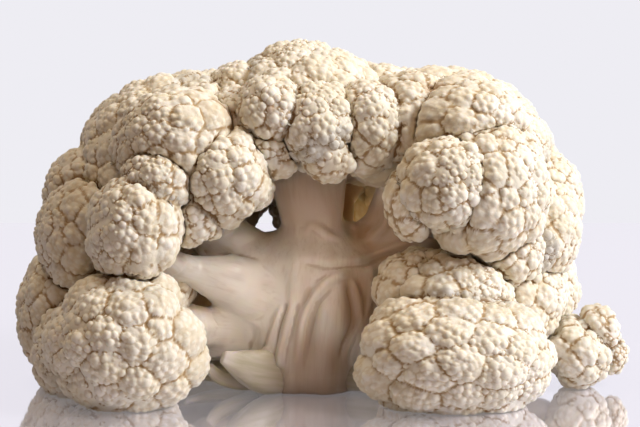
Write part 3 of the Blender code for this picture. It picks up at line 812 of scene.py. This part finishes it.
def start_tree(name, sizes, others):
    """A geometry tree with an input for each size and each of the others, and all its inputs."""
    tree = bpy.data.node_groups.new(name, "GeometryNodeTree")
    for side in ("INPUT", "OUTPUT"):
        tree.interface.new_socket("Geometry", in_out=side, socket_type="NodeSocketGeometry")
    for label, size in sizes.items():
        tree.interface.new_socket(label, in_out="INPUT", socket_type="NodeSocketFloat").default_value = size
    for label, kind in others.items():
        tree.interface.new_socket(label, in_out="INPUT", socket_type=kind)
    return tree, add(tree, "NodeGroupInput").outputs


def finish_tree(tree, geometry, material):
    """Ends a tree with real mesh in one material."""
    real = add(tree, "GeometryNodeRealizeInstances", inputs={"Geometry": geometry})
    painted = add(tree, "GeometryNodeSetMaterial", inputs={"Geometry": real.outputs[0], "Material": material})
    add(tree, "NodeGroupOutput", inputs={"Geometry": painted.outputs[0]})


def named(tree, name, kind="FLOAT"):
    """A mesh attribute in a geometry tree."""
    return add(tree, "GeometryNodeInputNamedAttribute", {"data_type": kind}, {"Name": name}).outputs[0]


def times(tree, vector, factor):
    """A vector times a number."""
    inputs = {0: vector, "Scale": factor}
    return add(tree, "ShaderNodeVectorMath", {"operation": "SCALE"}, inputs).outputs[0]


def grow_crop(tree, given, name, smoothness):
    """Adds the nodes of one crop, and returns its numbered balls as real mesh."""
    crop, number = CROPS[name], list(CROPS).index(name)
    place = scaled(tree, named(tree, "crest"), CREASE_PLACE, CREST_PLACE, crop.in_crease, crop.on_crest)
    patch = scaled(tree, smoothness, SMOOTH_NOISE, ROUGH_NOISE, crop.in_smooth, 1.0)
    chance = calc(tree, "MULTIPLY", named(tree, "free"), calc(tree, "MULTIPLY", place, patch))
    dense = calc(tree, "MULTIPLY", calc(tree, "POWER", given[name + " spacing"], -2.0), DENSITY)
    seed = calc(tree, "ADD", given["Seed"], number * SEEDS_APART)
    spots = add(tree, "GeometryNodeDistributePointsOnFaces", {"distribute_method": "POISSON"},
                {"Mesh": given["Geometry"], "Distance Min": given[name + " spacing"], "Density Max": dense,
                 "Density Factor": chance, "Seed": seed})
    radius = add(tree, "FunctionNodeRandomValue", {"data_type": "FLOAT"},
                 {2: given[name + " smallest"], 3: given[name + " largest"], "Seed": seed}).outputs[1]
    depth = calc(tree, "MULTIPLY", radius, given[name + " sunk"])
    shift = times(tree, spots.outputs["Normal"], calc(tree, "MULTIPLY", depth, -1.0))
    sunk = add(tree, "GeometryNodeSetPosition", inputs={"Geometry": spots.outputs["Points"], "Offset": shift})
    ball = add(tree, "GeometryNodeMeshIcoSphere", inputs={"Radius": 1.0, "Subdivisions": crop.detail})
    balls = add(tree, "GeometryNodeInstanceOnPoints",
                inputs={"Points": sunk.outputs[0], "Instance": ball.outputs["Mesh"], "Scale": radius})
    index = add(tree, "GeometryNodeInputIndex").outputs[0]
    numbered = add(tree, "GeometryNodeStoreNamedAttribute", {"data_type": "FLOAT", "domain": "INSTANCE"},
                   {"Geometry": balls.outputs[0], "Name": "ball",
                    "Value": calc(tree, "ADD", index, 1.0 + number * NUMBERS_APART)})
    return add(tree, "GeometryNodeRealizeInstances", inputs={"Geometry": numbered.outputs[0]}).outputs[0]


def curd_tree():
    """Three crops of balls on the skin, and rays that move each of its points onto them."""
    sizes = {"Look from": LOOK_FROM * MM, "Smooth patch": SMOOTH_PATCH * MM}
    for name, crop in CROPS.items():
        sizes |= {name + " spacing": crop.spacing * MM, name + " smallest": crop.smallest * MM,
                  name + " largest": crop.largest * MM, name + " sunk": crop.sunk}
    tree, given = start_tree("grow curd", sizes, {"Seed": "NodeSocketInt"})
    wide = calc(tree, "DIVIDE", 1.0, given["Smooth patch"])
    patches = add(tree, "ShaderNodeTexNoise", inputs={"Scale": wide, "Detail": 1.0}).outputs[0]
    target = add(tree, "GeometryNodeJoinGeometry", inputs={"Geometry": given["Geometry"]})
    for name in CROPS:
        tree.links.new(grow_crop(tree, given, name, patches), target.inputs["Geometry"])
    place = add(tree, "GeometryNodeInputPosition").outputs[0]
    outward = named(tree, "outward", "FLOAT_VECTOR")
    away = times(tree, outward, given["Look from"])
    eye = add(tree, "ShaderNodeVectorMath", {"operation": "ADD"}, {0: place, 1: away})
    landing = add(tree, "GeometryNodeRaycast", {"data_type": "FLOAT", "mapping": "NEAREST"},
                  {"Target Geometry": target.outputs[0], "Source Position": eye.outputs[0],
                   "Attribute": named(tree, "ball"), "Ray Direction": times(tree, outward, -1.0),
                   "Ray Length": given["Look from"]}).outputs
    rise = calc(tree, "SUBTRACT", given["Look from"], landing["Hit Distance"])
    shift = times(tree, outward, calc(tree, "MINIMUM", rise, named(tree, "room")))
    open_curd = calc(tree, "GREATER_THAN", named(tree, "free"), LEAST_FREE)
    moves = add(tree, "FunctionNodeBooleanMath", {"operation": "AND"}, {0: landing["Is Hit"], 1: open_curd})
    marked = add(tree, "GeometryNodeStoreNamedAttribute", {"data_type": "FLOAT", "domain": "POINT"},
                 {"Geometry": given["Geometry"], "Name": "ball",
                  "Value": calc(tree, "MULTIPLY", landing["Attribute"], moves.outputs[0])})
    grown = add(tree, "GeometryNodeSetPosition",
                inputs={"Geometry": marked.outputs[0], "Selection": moves.outputs[0], "Offset": shift})
    finish_tree(tree, grown.outputs[0], curd)
    return tree


growth = curd_tree()
print("curd tree:", len(growth.nodes), "nodes")

# %% Steps that every piece goes through
HOLLOW_PASSES = 6
HOLLOW_DEPTH = 0.25 * MM
SEAM_DEPTH = 0.12 * MM
SEAM_EDGES = 2.0  # edges from a point to other balls that make it a full seam


def new_object(name, mesh):
    made = bpy.data.objects.new(name, mesh)
    bpy.context.scene.collection.objects.link(made)
    return made


def add_nodes(piece, tree, **values):
    """Puts a geometry tree on a piece, with its inputs set by their identifiers."""
    step = piece.modifiers.new(tree.name, "NODES")
    step.node_group = tree
    sockets = {item.name: item.identifier for item in tree.interface.items_tree if item.in_out == "INPUT"}
    for name, value in values.items():
        step[sockets[name]] = value


def add_skin(piece, voxel, passes):
    """Melts what overlaps into one skin, and smooths the voxels' steps away."""
    melt = piece.modifiers.new("melt", "REMESH")
    melt.mode = "VOXEL"
    melt.voxel_size = voxel
    relax = piece.modifiers.new("relax", "SMOOTH")
    relax.factor = 0.5
    relax.iterations = passes


def freeze(piece):
    """Turns a piece's modifiers into plain mesh."""
    graph = bpy.context.evaluated_depsgraph_get()
    made = bpy.data.meshes.new_from_object(piece.evaluated_get(graph))
    piece.modifiers.clear()
    piece.data = made


def rows_of(data, field, width, kind=float):
    """One field of a mesh's elements as an array with width columns."""
    values = np.zeros(len(data) * width, kind)
    data.foreach_get(field, values)
    return values.reshape(-1, width)


def points_of(mesh):
    return rows_of(mesh.vertices, "co", 3)


def normals_of(mesh):
    return rows_of(mesh.vertex_normals, "vector", 3)


def set_points(mesh, points):
    mesh.vertices.foreach_set("co", points.ravel())
    mesh.update()


def smoothed(mesh, points, passes):
    """The points, each moved to the mean of its neighbours a few times."""
    edges = rows_of(mesh.edges, "vertices", 2, np.int64)
    start, stop = np.concatenate([edges, edges[:, ::-1]]).T
    share = np.bincount(start, minlength=len(points))[:, None]
    for _ in range(passes):
        sums = [np.bincount(start, points[stop, axis], len(points)) for axis in range(3)]
        points = np.stack(sums, axis=1) / np.maximum(share, 1)
    return points


def mark_hollows(mesh):
    """Stores how far each point lies below the smoothed skin, from 0 to 1, for painted shade."""
    points = points_of(mesh)
    dip = ((smoothed(mesh, points, HOLLOW_PASSES) - points) * normals_of(mesh)).sum(axis=1)
    put(mesh, "hollow", np.clip(dip / HOLLOW_DEPTH, 0, 1))


def sink_seams(mesh):
    """Stores where one ball of curd meets the next, and sinks the skin there."""
    ball = rows_of(mesh.attributes["ball"].data, "value", 1)[:, 0]
    start, stop = rows_of(mesh.edges, "vertices", 2, np.int64).T
    apart = (ball[start].round() != ball[stop].round()).astype(float)
    met = np.bincount(start, apart, len(ball)) + np.bincount(stop, apart, len(ball))
    seam = np.clip(met / SEAM_EDGES, 0, 1)
    put(mesh, "seam", seam)
    set_points(mesh, points_of(mesh) - normals_of(mesh) * (seam * SEAM_DEPTH)[:, None])


def keep_in_box(mesh):
    """Brings the few grains that stand out of the solid's box back to it."""
    set_points(mesh, np.clip(points_of(mesh), np.array(cad_low), np.array(cad_high)))


def mark_spots(mesh, name, spots, core, edge):
    """Stores a blot round each spot: full inside the share core of its radius, gone at the edge."""
    points = points_of(mesh) / MM
    mark = np.zeros(len(points))
    for x, y, z, radius, strength in spots:
        away = np.linalg.norm(points - np.array([x, y, z]), axis=1)
        mark = np.maximum(mark, strength * (1 - smooth_step(core, edge, away / radius)))
    put(mesh, name, mark)


print("a hollow is fully coloured from a depth of", HOLLOW_DEPTH / MM, "mm")

# %% [markdown]
# ### Bruises
#
# A head gets a few brown patches on its way to the shop, where it rubs on others. They lie on
# the crown, on its shoulders and on the left inner floret, which stands out at the front.

# %% Bruises
BRUISE_STRENGTH = 0.55
BRUISES = [(*spot, BRUISE_STRENGTH) for spot in [  # x, y, z, radius in mm
    (-3, -30, 118, 4.5),
    (-8, -34, 105, 2.2),
    (-11, -34, 100, 2.0),
    (-27, -28, 96, 4.5),
    (-25, -18, 108, 3.5),
    (44, -20, 106, 4.0),
    (-32, -45, 70, 3.0),
    (-28, -45, 65, 2.6),
]]
BRUISE_CORE, BRUISE_EDGE = 0.3, 1.2  # shares of the radius
print("bruises:", len(BRUISES))

# %% Grow the florets
def declare(piece, node, material):
    """Gives a finished piece its material and smooth shading, puts it under the root, and hides the imported
    node that it replaces.
    """
    piece.data.materials.clear()
    piece.data.materials.append(material)
    piece.data.shade_smooth()
    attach(piece, "root")
    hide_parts(node)


triangles = 0
for number, node in enumerate(name for name in FLORETS if node_of(name) == name):
    piece = new_object("curd_" + node, base_mesh(node))
    add_nodes(piece, growth, Seed=number)
    freeze(piece)
    sink_seams(piece.data)
    keep_in_box(piece.data)
    mark_hollows(piece.data)
    mark_spots(piece.data, "bruise", BRUISES, BRUISE_CORE, BRUISE_EDGE)
    declare(piece, "floret_" + node, curd)
    triangles += 2 * len(piece.data.polygons)
print("curd:", triangles, "triangles")

# %% [markdown]
# ## Stalk and branches
#
# The stalk with its boughs and twigs has no simple formula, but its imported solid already
# has the right form with few faces. Flat webs of flesh are added to a copy of that mesh
# where its left branches join. Remeshed with small voxels and smoothed, it loses its facets.
# Each point is then placed on the branch that it belongs to, so that ridges and fibres can
# run along that branch.

# %% Place on the branches
FIBRE_STRETCH = 0.07  # how much slower a pattern changes along a branch than across it
LINES_APART = 40  # mm between the patterns of two branches
SURE_FROM = 0.25  # radii by which a branch has to be nearer than the next one
TWIG_START, TWIG_END = 0.6, 0.45  # a twig's radii, as shares of its fork's and of its floret's
STALK_AXIS = [(1, 0, -6, 24.5), (4, 1, 46, 22)]  # x, y, z, radius


def branch_lines():
    """The stalk, the boughs and the twigs as segments: number, start and stop with radii, run so far."""
    lines = [list(STALK_AXIS)] + [list(stations) for stations in BOUGHS.values()]
    for name in FLORETS:
        if node_of(name) == name:
            floret = FLORETS[name]
            x, y, z, radius = BOUGHS[floret.bough][-1]
            core = underside_size(name)
            tip = np.array(floret.middle) - floret_axis(name) * (UNDERSIDE_CUT * core)
            lines.append([(x, y, z, TWIG_START * radius), (*tip, TWIG_END * core)])
    segments = []
    for number, line in enumerate(lines):
        run = 0.0
        for a, b in zip(line, line[1:]):
            segments.append((number, a, b, run))
            run += math.dist(a[:3], b[:3])
    return segments


def fibre_places(points):
    """Each point's place as seen along its nearest branch, in mm, and how clearly that is the nearest."""
    best = np.full(len(points), np.inf)
    second = np.full(len(points), np.inf)
    places = np.zeros((len(points), 3))
    for number, a, b, run in branch_lines():
        start, stop = np.array(a[:3], float), np.array(b[:3], float)
        length = np.linalg.norm(stop - start)
        local = (points - start) @ frame_along((stop - start) / length)
        share = np.clip(local[:, 2] / length, 0, 1)
        radius = a[3] + (b[3] - a[3]) * share
        past = local[:, 2] - share * length
        away = np.sqrt(local[:, 0] ** 2 + local[:, 1] ** 2 + past**2) / radius
        closer = away < best
        second = np.where(closer, best, np.minimum(second, away))
        best[closer] = away[closer]
        local[:, 2] = (run + local[:, 2]) * FIBRE_STRETCH + LINES_APART * number
        places[closer] = local[closer]
    return places, smooth_step(0, SURE_FROM, second - best)


print("branch segments:", len(branch_lines()))

# %% Ridge tree
def ridge_tree():
    """Noise along the branches raises ridges, and finer noise raises strands."""
    sizes = {"Ridge width": 8 * MM, "Ridge height": 1.2 * MM, "Strand width": 2.4 * MM,
             "Strand height": 0.3 * MM, "Swell": 0.3 * MM}
    tree, given = start_tree("raise ridges", sizes, {"Material": "NodeSocketMaterial"})
    place = named(tree, "fibre", "FLOAT_VECTOR")
    height = given["Swell"]
    for kind in ("Ridge", "Strand"):
        scale = calc(tree, "DIVIDE", 1.0, given[kind + " width"])
        bumps = add(tree, "ShaderNodeTexNoise", inputs={"Vector": place, "Scale": scale, "Detail": 1.0})
        centred = calc(tree, "SUBTRACT", bumps.outputs[0], 0.5)
        height = add(tree, "ShaderNodeMath", {"operation": "MULTIPLY_ADD"},
                     {0: centred, 1: given[kind + " height"], 2: height}).outputs[0]
    height = calc(tree, "MULTIPLY", height, named(tree, "sure"))
    shift = times(tree, add(tree, "GeometryNodeInputNormal").outputs[0], height)
    moved = add(tree, "GeometryNodeSetPosition", inputs={"Geometry": given["Geometry"], "Offset": shift})
    finish_tree(tree, moved.outputs[0], given["Material"])
    return tree


ridges = ridge_tree()
print("ridge tree:", len(ridges.nodes), "nodes")

# %% Grow the stalk
STALK_VOXEL = 0.85 * MM
STALK_PASSES = 20  # of smoothing
WELD = 0.01 * MM
PHOTO_WIDTH = 640
PHOTO_HEIGHT = 427
FILL_ROUNDS = 3
FILL_PASSES = 45
CURVE_STEPS = 6
FADE_IN = 0.15  # shares of a fold's length in which it grows and dies away
FADE_OUT = 0.35
FOLDS = {  # pixels of the photograph that each fold runs through, its width and its height in mm
    "twisted strand": ([(172, 258), (203, 257), (238, 261), (288, 266)], 1.0, 1.0),
    "crease over the twisted strand": ([(176, 253), (205, 252), (240, 256), (290, 261)], 1.3, -0.8),
    "edge of the belly": ([(356, 270), (330, 280), (312, 301), (303, 322), (299, 350), (294, 384)], 1.3, 1.6),
    "groove beside the belly": ([(340, 283), (320, 303), (311, 325), (306, 350), (302, 384)], 1.6, -1.3),
    "left fibre": ([(283, 303), (275, 325), (268, 352), (264, 384)], 0.9, 0.9),
    "groove left of the middle fibre": ([(288, 300), (280, 325), (274, 352), (270, 384)], 0.9, -0.9),
    "middle fibre": ([(294, 298), (287, 325), (280, 355), (276, 384)], 0.9, 1.0),
    "groove right of the middle fibre": ([(299, 300), (293, 325), (287, 350), (283, 384)], 0.9, -0.9),
    "right curve": ([(350, 276), (358, 300), (359, 322), (348, 346), (338, 378)], 1.2, 1.4),
    "groove in the right curve": ([(344, 282), (351, 303), (352, 322), (342, 345), (332, 378)], 1.4, -1.2),
    "far right curve": ([(371, 276), (369, 304), (359, 338), (348, 366)], 1.1, 1.1),
    "torn ridge beside the leaf": ([(266, 346), (269, 358), (273, 372), (277, 384)], 1.3, 2.4),
    "fold under the crown": ([(300, 262), (325, 268), (353, 267), (388, 262)], 1.3, -1.0),
    "crown's low fold": ([(308, 236), (312, 225), (330, 237), (345, 240)], 1.2, 1.0),
    "rim of the arch": (
        [(346, 163), (368, 170), (384, 187), (389, 208), (383, 226), (368, 237), (352, 243)], 1.4, 1.4),
    "right bough's strand": ([(350, 262), (385, 250), (430, 234)], 1.2, 0.9),
    "crease under that strand": ([(355, 268), (390, 257), (432, 243)], 1.3, -0.8),
}
BULGES = {  # pixel of the photograph that each lies under, its radius and its height in mm
    "crown's bough": ((306, 200), 11, 2.5),
    "belly": ((332, 318), 7, 1.6),
    "fan": ((228, 280), 9, 1.2),
    "left bough": ((240, 238), 8, 1.5),
    "dent under the arch": ((362, 228), 7, -3.0),
}
WEBS = {  # flat lens of flesh between branches: middle and half axes in mm, turn about Y in degrees
    "fan": ((-20, -13, 33), (17, 6, 9.5), 24),
    "left membrane": ((-27, -6, 49), (11, 4, 8), 10),
    "low left branch": ((-24, -9, 17), (17, 5, 6), -12),
}
# painted glow and shade: spots of orange brown on the flesh, where light would come through it and where the
# hollow is shaded
PAINTED_GLOW_AND_SHADE = [  # where light comes through the flesh: x, y, z, radius in mm, strength
    (16, 12, 66, 15, 1.0),
    (2, -8, 66, 18, 0.6),
    (28, -4, 54, 17, 0.75),
    (45, 5, 50, 12, 1.0),
    (-24, 6, 28, 13, 1.0),
    (18, -16, 32, 13, 0.6),
    (4, -22, 10, 14, 0.5),
]
GLOW_AND_SHADE_CORE, GLOW_AND_SHADE_EDGE = 0.4, 1.1  # shares of the radius


def copy_of_node(node, name):
    """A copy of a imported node's mesh, with its loose triangles merged and the webs added."""
    work = bmesh.new()
    work.from_mesh(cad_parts[node].data)
    bmesh.ops.remove_doubles(work, verts=work.verts, dist=WELD)
    for middle, half, tilt in WEBS.values():
        turn = Matrix.Rotation(math.radians(tilt), 3, "Y")
        place = Matrix.LocRotScale(Vector(middle) * MM, turn, Vector(half) * MM)
        bmesh.ops.create_icosphere(work, subdivisions=3, radius=1, matrix=place)
    mesh = bpy.data.meshes.new(name)
    work.to_mesh(mesh)
    work.free()
    return mesh


def curve_through(stations, steps):
    """Rows on a smooth curve through the stations."""
    rows = np.array(stations, float)
    ends = np.vstack([2 * rows[0] - rows[1], rows, 2 * rows[-1] - rows[-2]])
    path = []
    for before, start, stop, after in zip(ends, ends[1:], ends[2:], ends[3:]):
        for step in range(steps):
            t = step / steps
            square = 2 * before - 5 * start + 4 * stop - after
            cubic = 3 * start - before - 3 * stop + after
            path.append(0.5 * (2 * start + (stop - before) * t + square * t**2 + cubic * t**3))
    return np.array(path + [rows[-1]])


def ray_through(x, y):
    """The direction from the camera through a pixel of the photograph."""
    focal = lens.lens / lens.sensor_width * PHOTO_WIDTH
    aside = Vector(((x - PHOTO_WIDTH / 2) / focal, (PHOTO_HEIGHT / 2 - y) / focal, -1))
    return (camera.rotation_euler.to_matrix() @ aside).normalized()


def fill_joints(mesh):
    """Grows flesh into every inward bend, so that boughs flow out of the stalk."""
    for _ in range(FILL_ROUNDS):
        points, normals = points_of(mesh), normals_of(mesh)
        dip = ((smoothed(mesh, points, FILL_PASSES) - points) * normals).sum(axis=1)
        set_points(mesh, points + normals * np.maximum(dip, 0)[:, None])


def along_path(points, path):
    """How far each point is from a line through the stops of a path, and how far along it, from 0 to 1."""
    nearest = np.full(len(points), np.inf)
    place = np.zeros(len(points))
    for number, (start, stop) in enumerate(zip(path, path[1:])):
        along = stop - start
        share = np.clip((points - start) @ along / max(along @ along, NEARLY_ZERO), 0, 1)
        away = np.linalg.norm(points - start - share[:, None] * along, axis=1)
        closer = away < nearest
        nearest[closer] = away[closer]
        place[closer] = (number + share[closer]) / (len(path) - 1)
    return nearest, place


def raise_folds(mesh):
    """Raises the folds and bulges that the photograph shows, and sinks its grooves."""
    points = points_of(mesh) / MM
    surface = BVHTree.FromPolygons((points * MM).tolist(), [list(face.vertices) for face in mesh.polygons])
    rise = np.zeros(len(points))
    spots = {name: ([spot], width, height) for name, (spot, width, height) in BULGES.items()}
    for pixels, width, height in (FOLDS | spots).values():
        hits = [surface.ray_cast(Vector(CAMERA_PLACE), ray_through(x, y))[0] for x, y in pixels]
        stops = [tuple(hit / MM) for hit in hits if hit]
        if len(stops) > 1:
            away, place = along_path(points, curve_through(stops, CURVE_STEPS))
            height = height * smooth_step(0, FADE_IN, place) * (1 - smooth_step(1 - FADE_OUT, 1, place))
        else:
            away = np.linalg.norm(points - np.array(stops[0]), axis=1)
        rise += height * np.exp(-((away / width) ** 2))
    set_points(mesh, (points + normals_of(mesh) * rise[:, None]) * MM)


stalk = new_object("stem", copy_of_node("stalk", "stem"))
add_skin(stalk, STALK_VOXEL, STALK_PASSES)
freeze(stalk)
fill_joints(stalk.data)
raise_folds(stalk.data)
places, sure = fibre_places(points_of(stalk.data) / MM)
put_vectors(stalk.data, "fibre", places * MM)
put(stalk.data, "sure", sure)
add_nodes(stalk, ridges, Material=flesh)
freeze(stalk)
keep_in_box(stalk.data)
mark_hollows(stalk.data)
mark_spots(stalk.data, "painted_glow_and_shade", PAINTED_GLOW_AND_SHADE, GLOW_AND_SHADE_CORE, GLOW_AND_SHADE_EDGE)
declare(stalk, "stalk", flesh)
print("stalk:", 2 * len(stalk.data.polygons), "triangles")

# %% [markdown]
# ## Leaf stubs
#
# Each stub is a flat tube through a few stations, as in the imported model. It has many more
# rings, a boxier section, ridges that run along it and a pale torn tip, and the front one is
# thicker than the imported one.

# %% Leaf stubs
class LeafStub(NamedTuple):
    wide: tuple
    stations: list  # x, y, z, half width, half thickness, from the stalk to its torn tip


LEAF_STUBS = {
    "front": LeafStub((-0.5, 0, 1), [(-9, -16.5, 5.5, 7, 4), (-15, -22.5, 8, 7.5, 4),
                                     (-21.5, -26, 10.8, 5.2, 3.2), (-28, -28, 14, 2.2, 1.8)]),
    "curled": LeafStub((0, 0, 1), [(-15, -13, 3.5, 3, 3), (-22, -19, 3.2, 2.6, 2.4),
                                   (-29, -22, 5.5, 2.4, 2.2), (-33, -23, 9.5, 1.8, 1.8)]),
    "left": LeafStub((0, 1, 0.2), [(-17, 0, 4, 8, 3), (-27, -1, 4, 8, 2.2),
                                   (-36, -2, 4.5, 7, 1.6), (-43, -4, 6, 5, 1.1)]),
    "right": LeafStub((0, 0.3, 1), [(16, -16, 5, 5, 4), (23, -20, 5, 4.6, 3.4),
                                    (28, -22, 4.8, 3.5, 2.6)]),
}
STUB_SIDES = 48
STUB_STEPS = 14
BOXINESS = 0.62  # 1 gives an oval section, less a boxier one
TORN_FROM = 0.7  # share of its length
STUB_RIDGES = {"Ridge height": 1.0 * MM, "Ridge width": 3 * MM, "Swell": 0.0}


def stub_mesh(name):
    """A closed flat tube with many rings, and its places for fibres and the torn tip."""
    stub = LEAF_STUBS[name]
    wide = np.array(stub.wide, float)
    path = curve_through(stub.stations, STUB_STEPS)
    points, places, torn = [], [], []
    run = 0.0
    for row, station in enumerate(path):
        previous = path[max(row - 1, 0)][:3]
        forward = unit(path[min(row + 1, len(path) - 1)][:3] - previous)
        across = unit(wide - forward * (forward @ wide))
        through = np.cross(forward, across)
        run += np.linalg.norm(station[:3] - previous)
        for side in range(STUB_SIDES):
            turn = 2 * math.pi * side / STUB_SIDES
            a, b = (size * math.copysign(abs(part) ** BOXINESS, part)
                    for size, part in zip(station[3:], (math.cos(turn), math.sin(turn))))
            point = station[:3] + across * a + through * b
            points.append([point[0], point[1], max(point[2], 0)])
            places.append([a, b, run * FIBRE_STRETCH])
            torn.append(row / len(path))
    faces = []
    for row in range(len(path) - 1):
        for side in range(STUB_SIDES):
            following = (side + 1) % STUB_SIDES
            low, high = row * STUB_SIDES, (row + 1) * STUB_SIDES
            faces.append([low + side, low + following, high + following, high + side])
    faces.append(list(range(STUB_SIDES))[::-1])
    faces.append([(len(path) - 1) * STUB_SIDES + side for side in range(STUB_SIDES)])
    mesh = bpy.data.meshes.new("leaf_base_" + name)
    mesh.from_pydata((np.array(points) * MM).tolist(), [], faces)
    put_vectors(mesh, "fibre", np.array(places) * MM)
    put(mesh, "sure", np.ones(len(points)))
    put(mesh, "torn", smooth_step(TORN_FROM, 1.0, np.array(torn)))
    return mesh


for name in LEAF_STUBS:
    piece = new_object("leaf_base_" + name, stub_mesh(name))
    add_nodes(piece, ridges, Material=leaf, **STUB_RIDGES)
    freeze(piece)
    keep_in_box(piece.data)
    declare(piece, "leaf_stub_" + name, leaf)
    print(piece.name, len(piece.data.polygons), "faces")
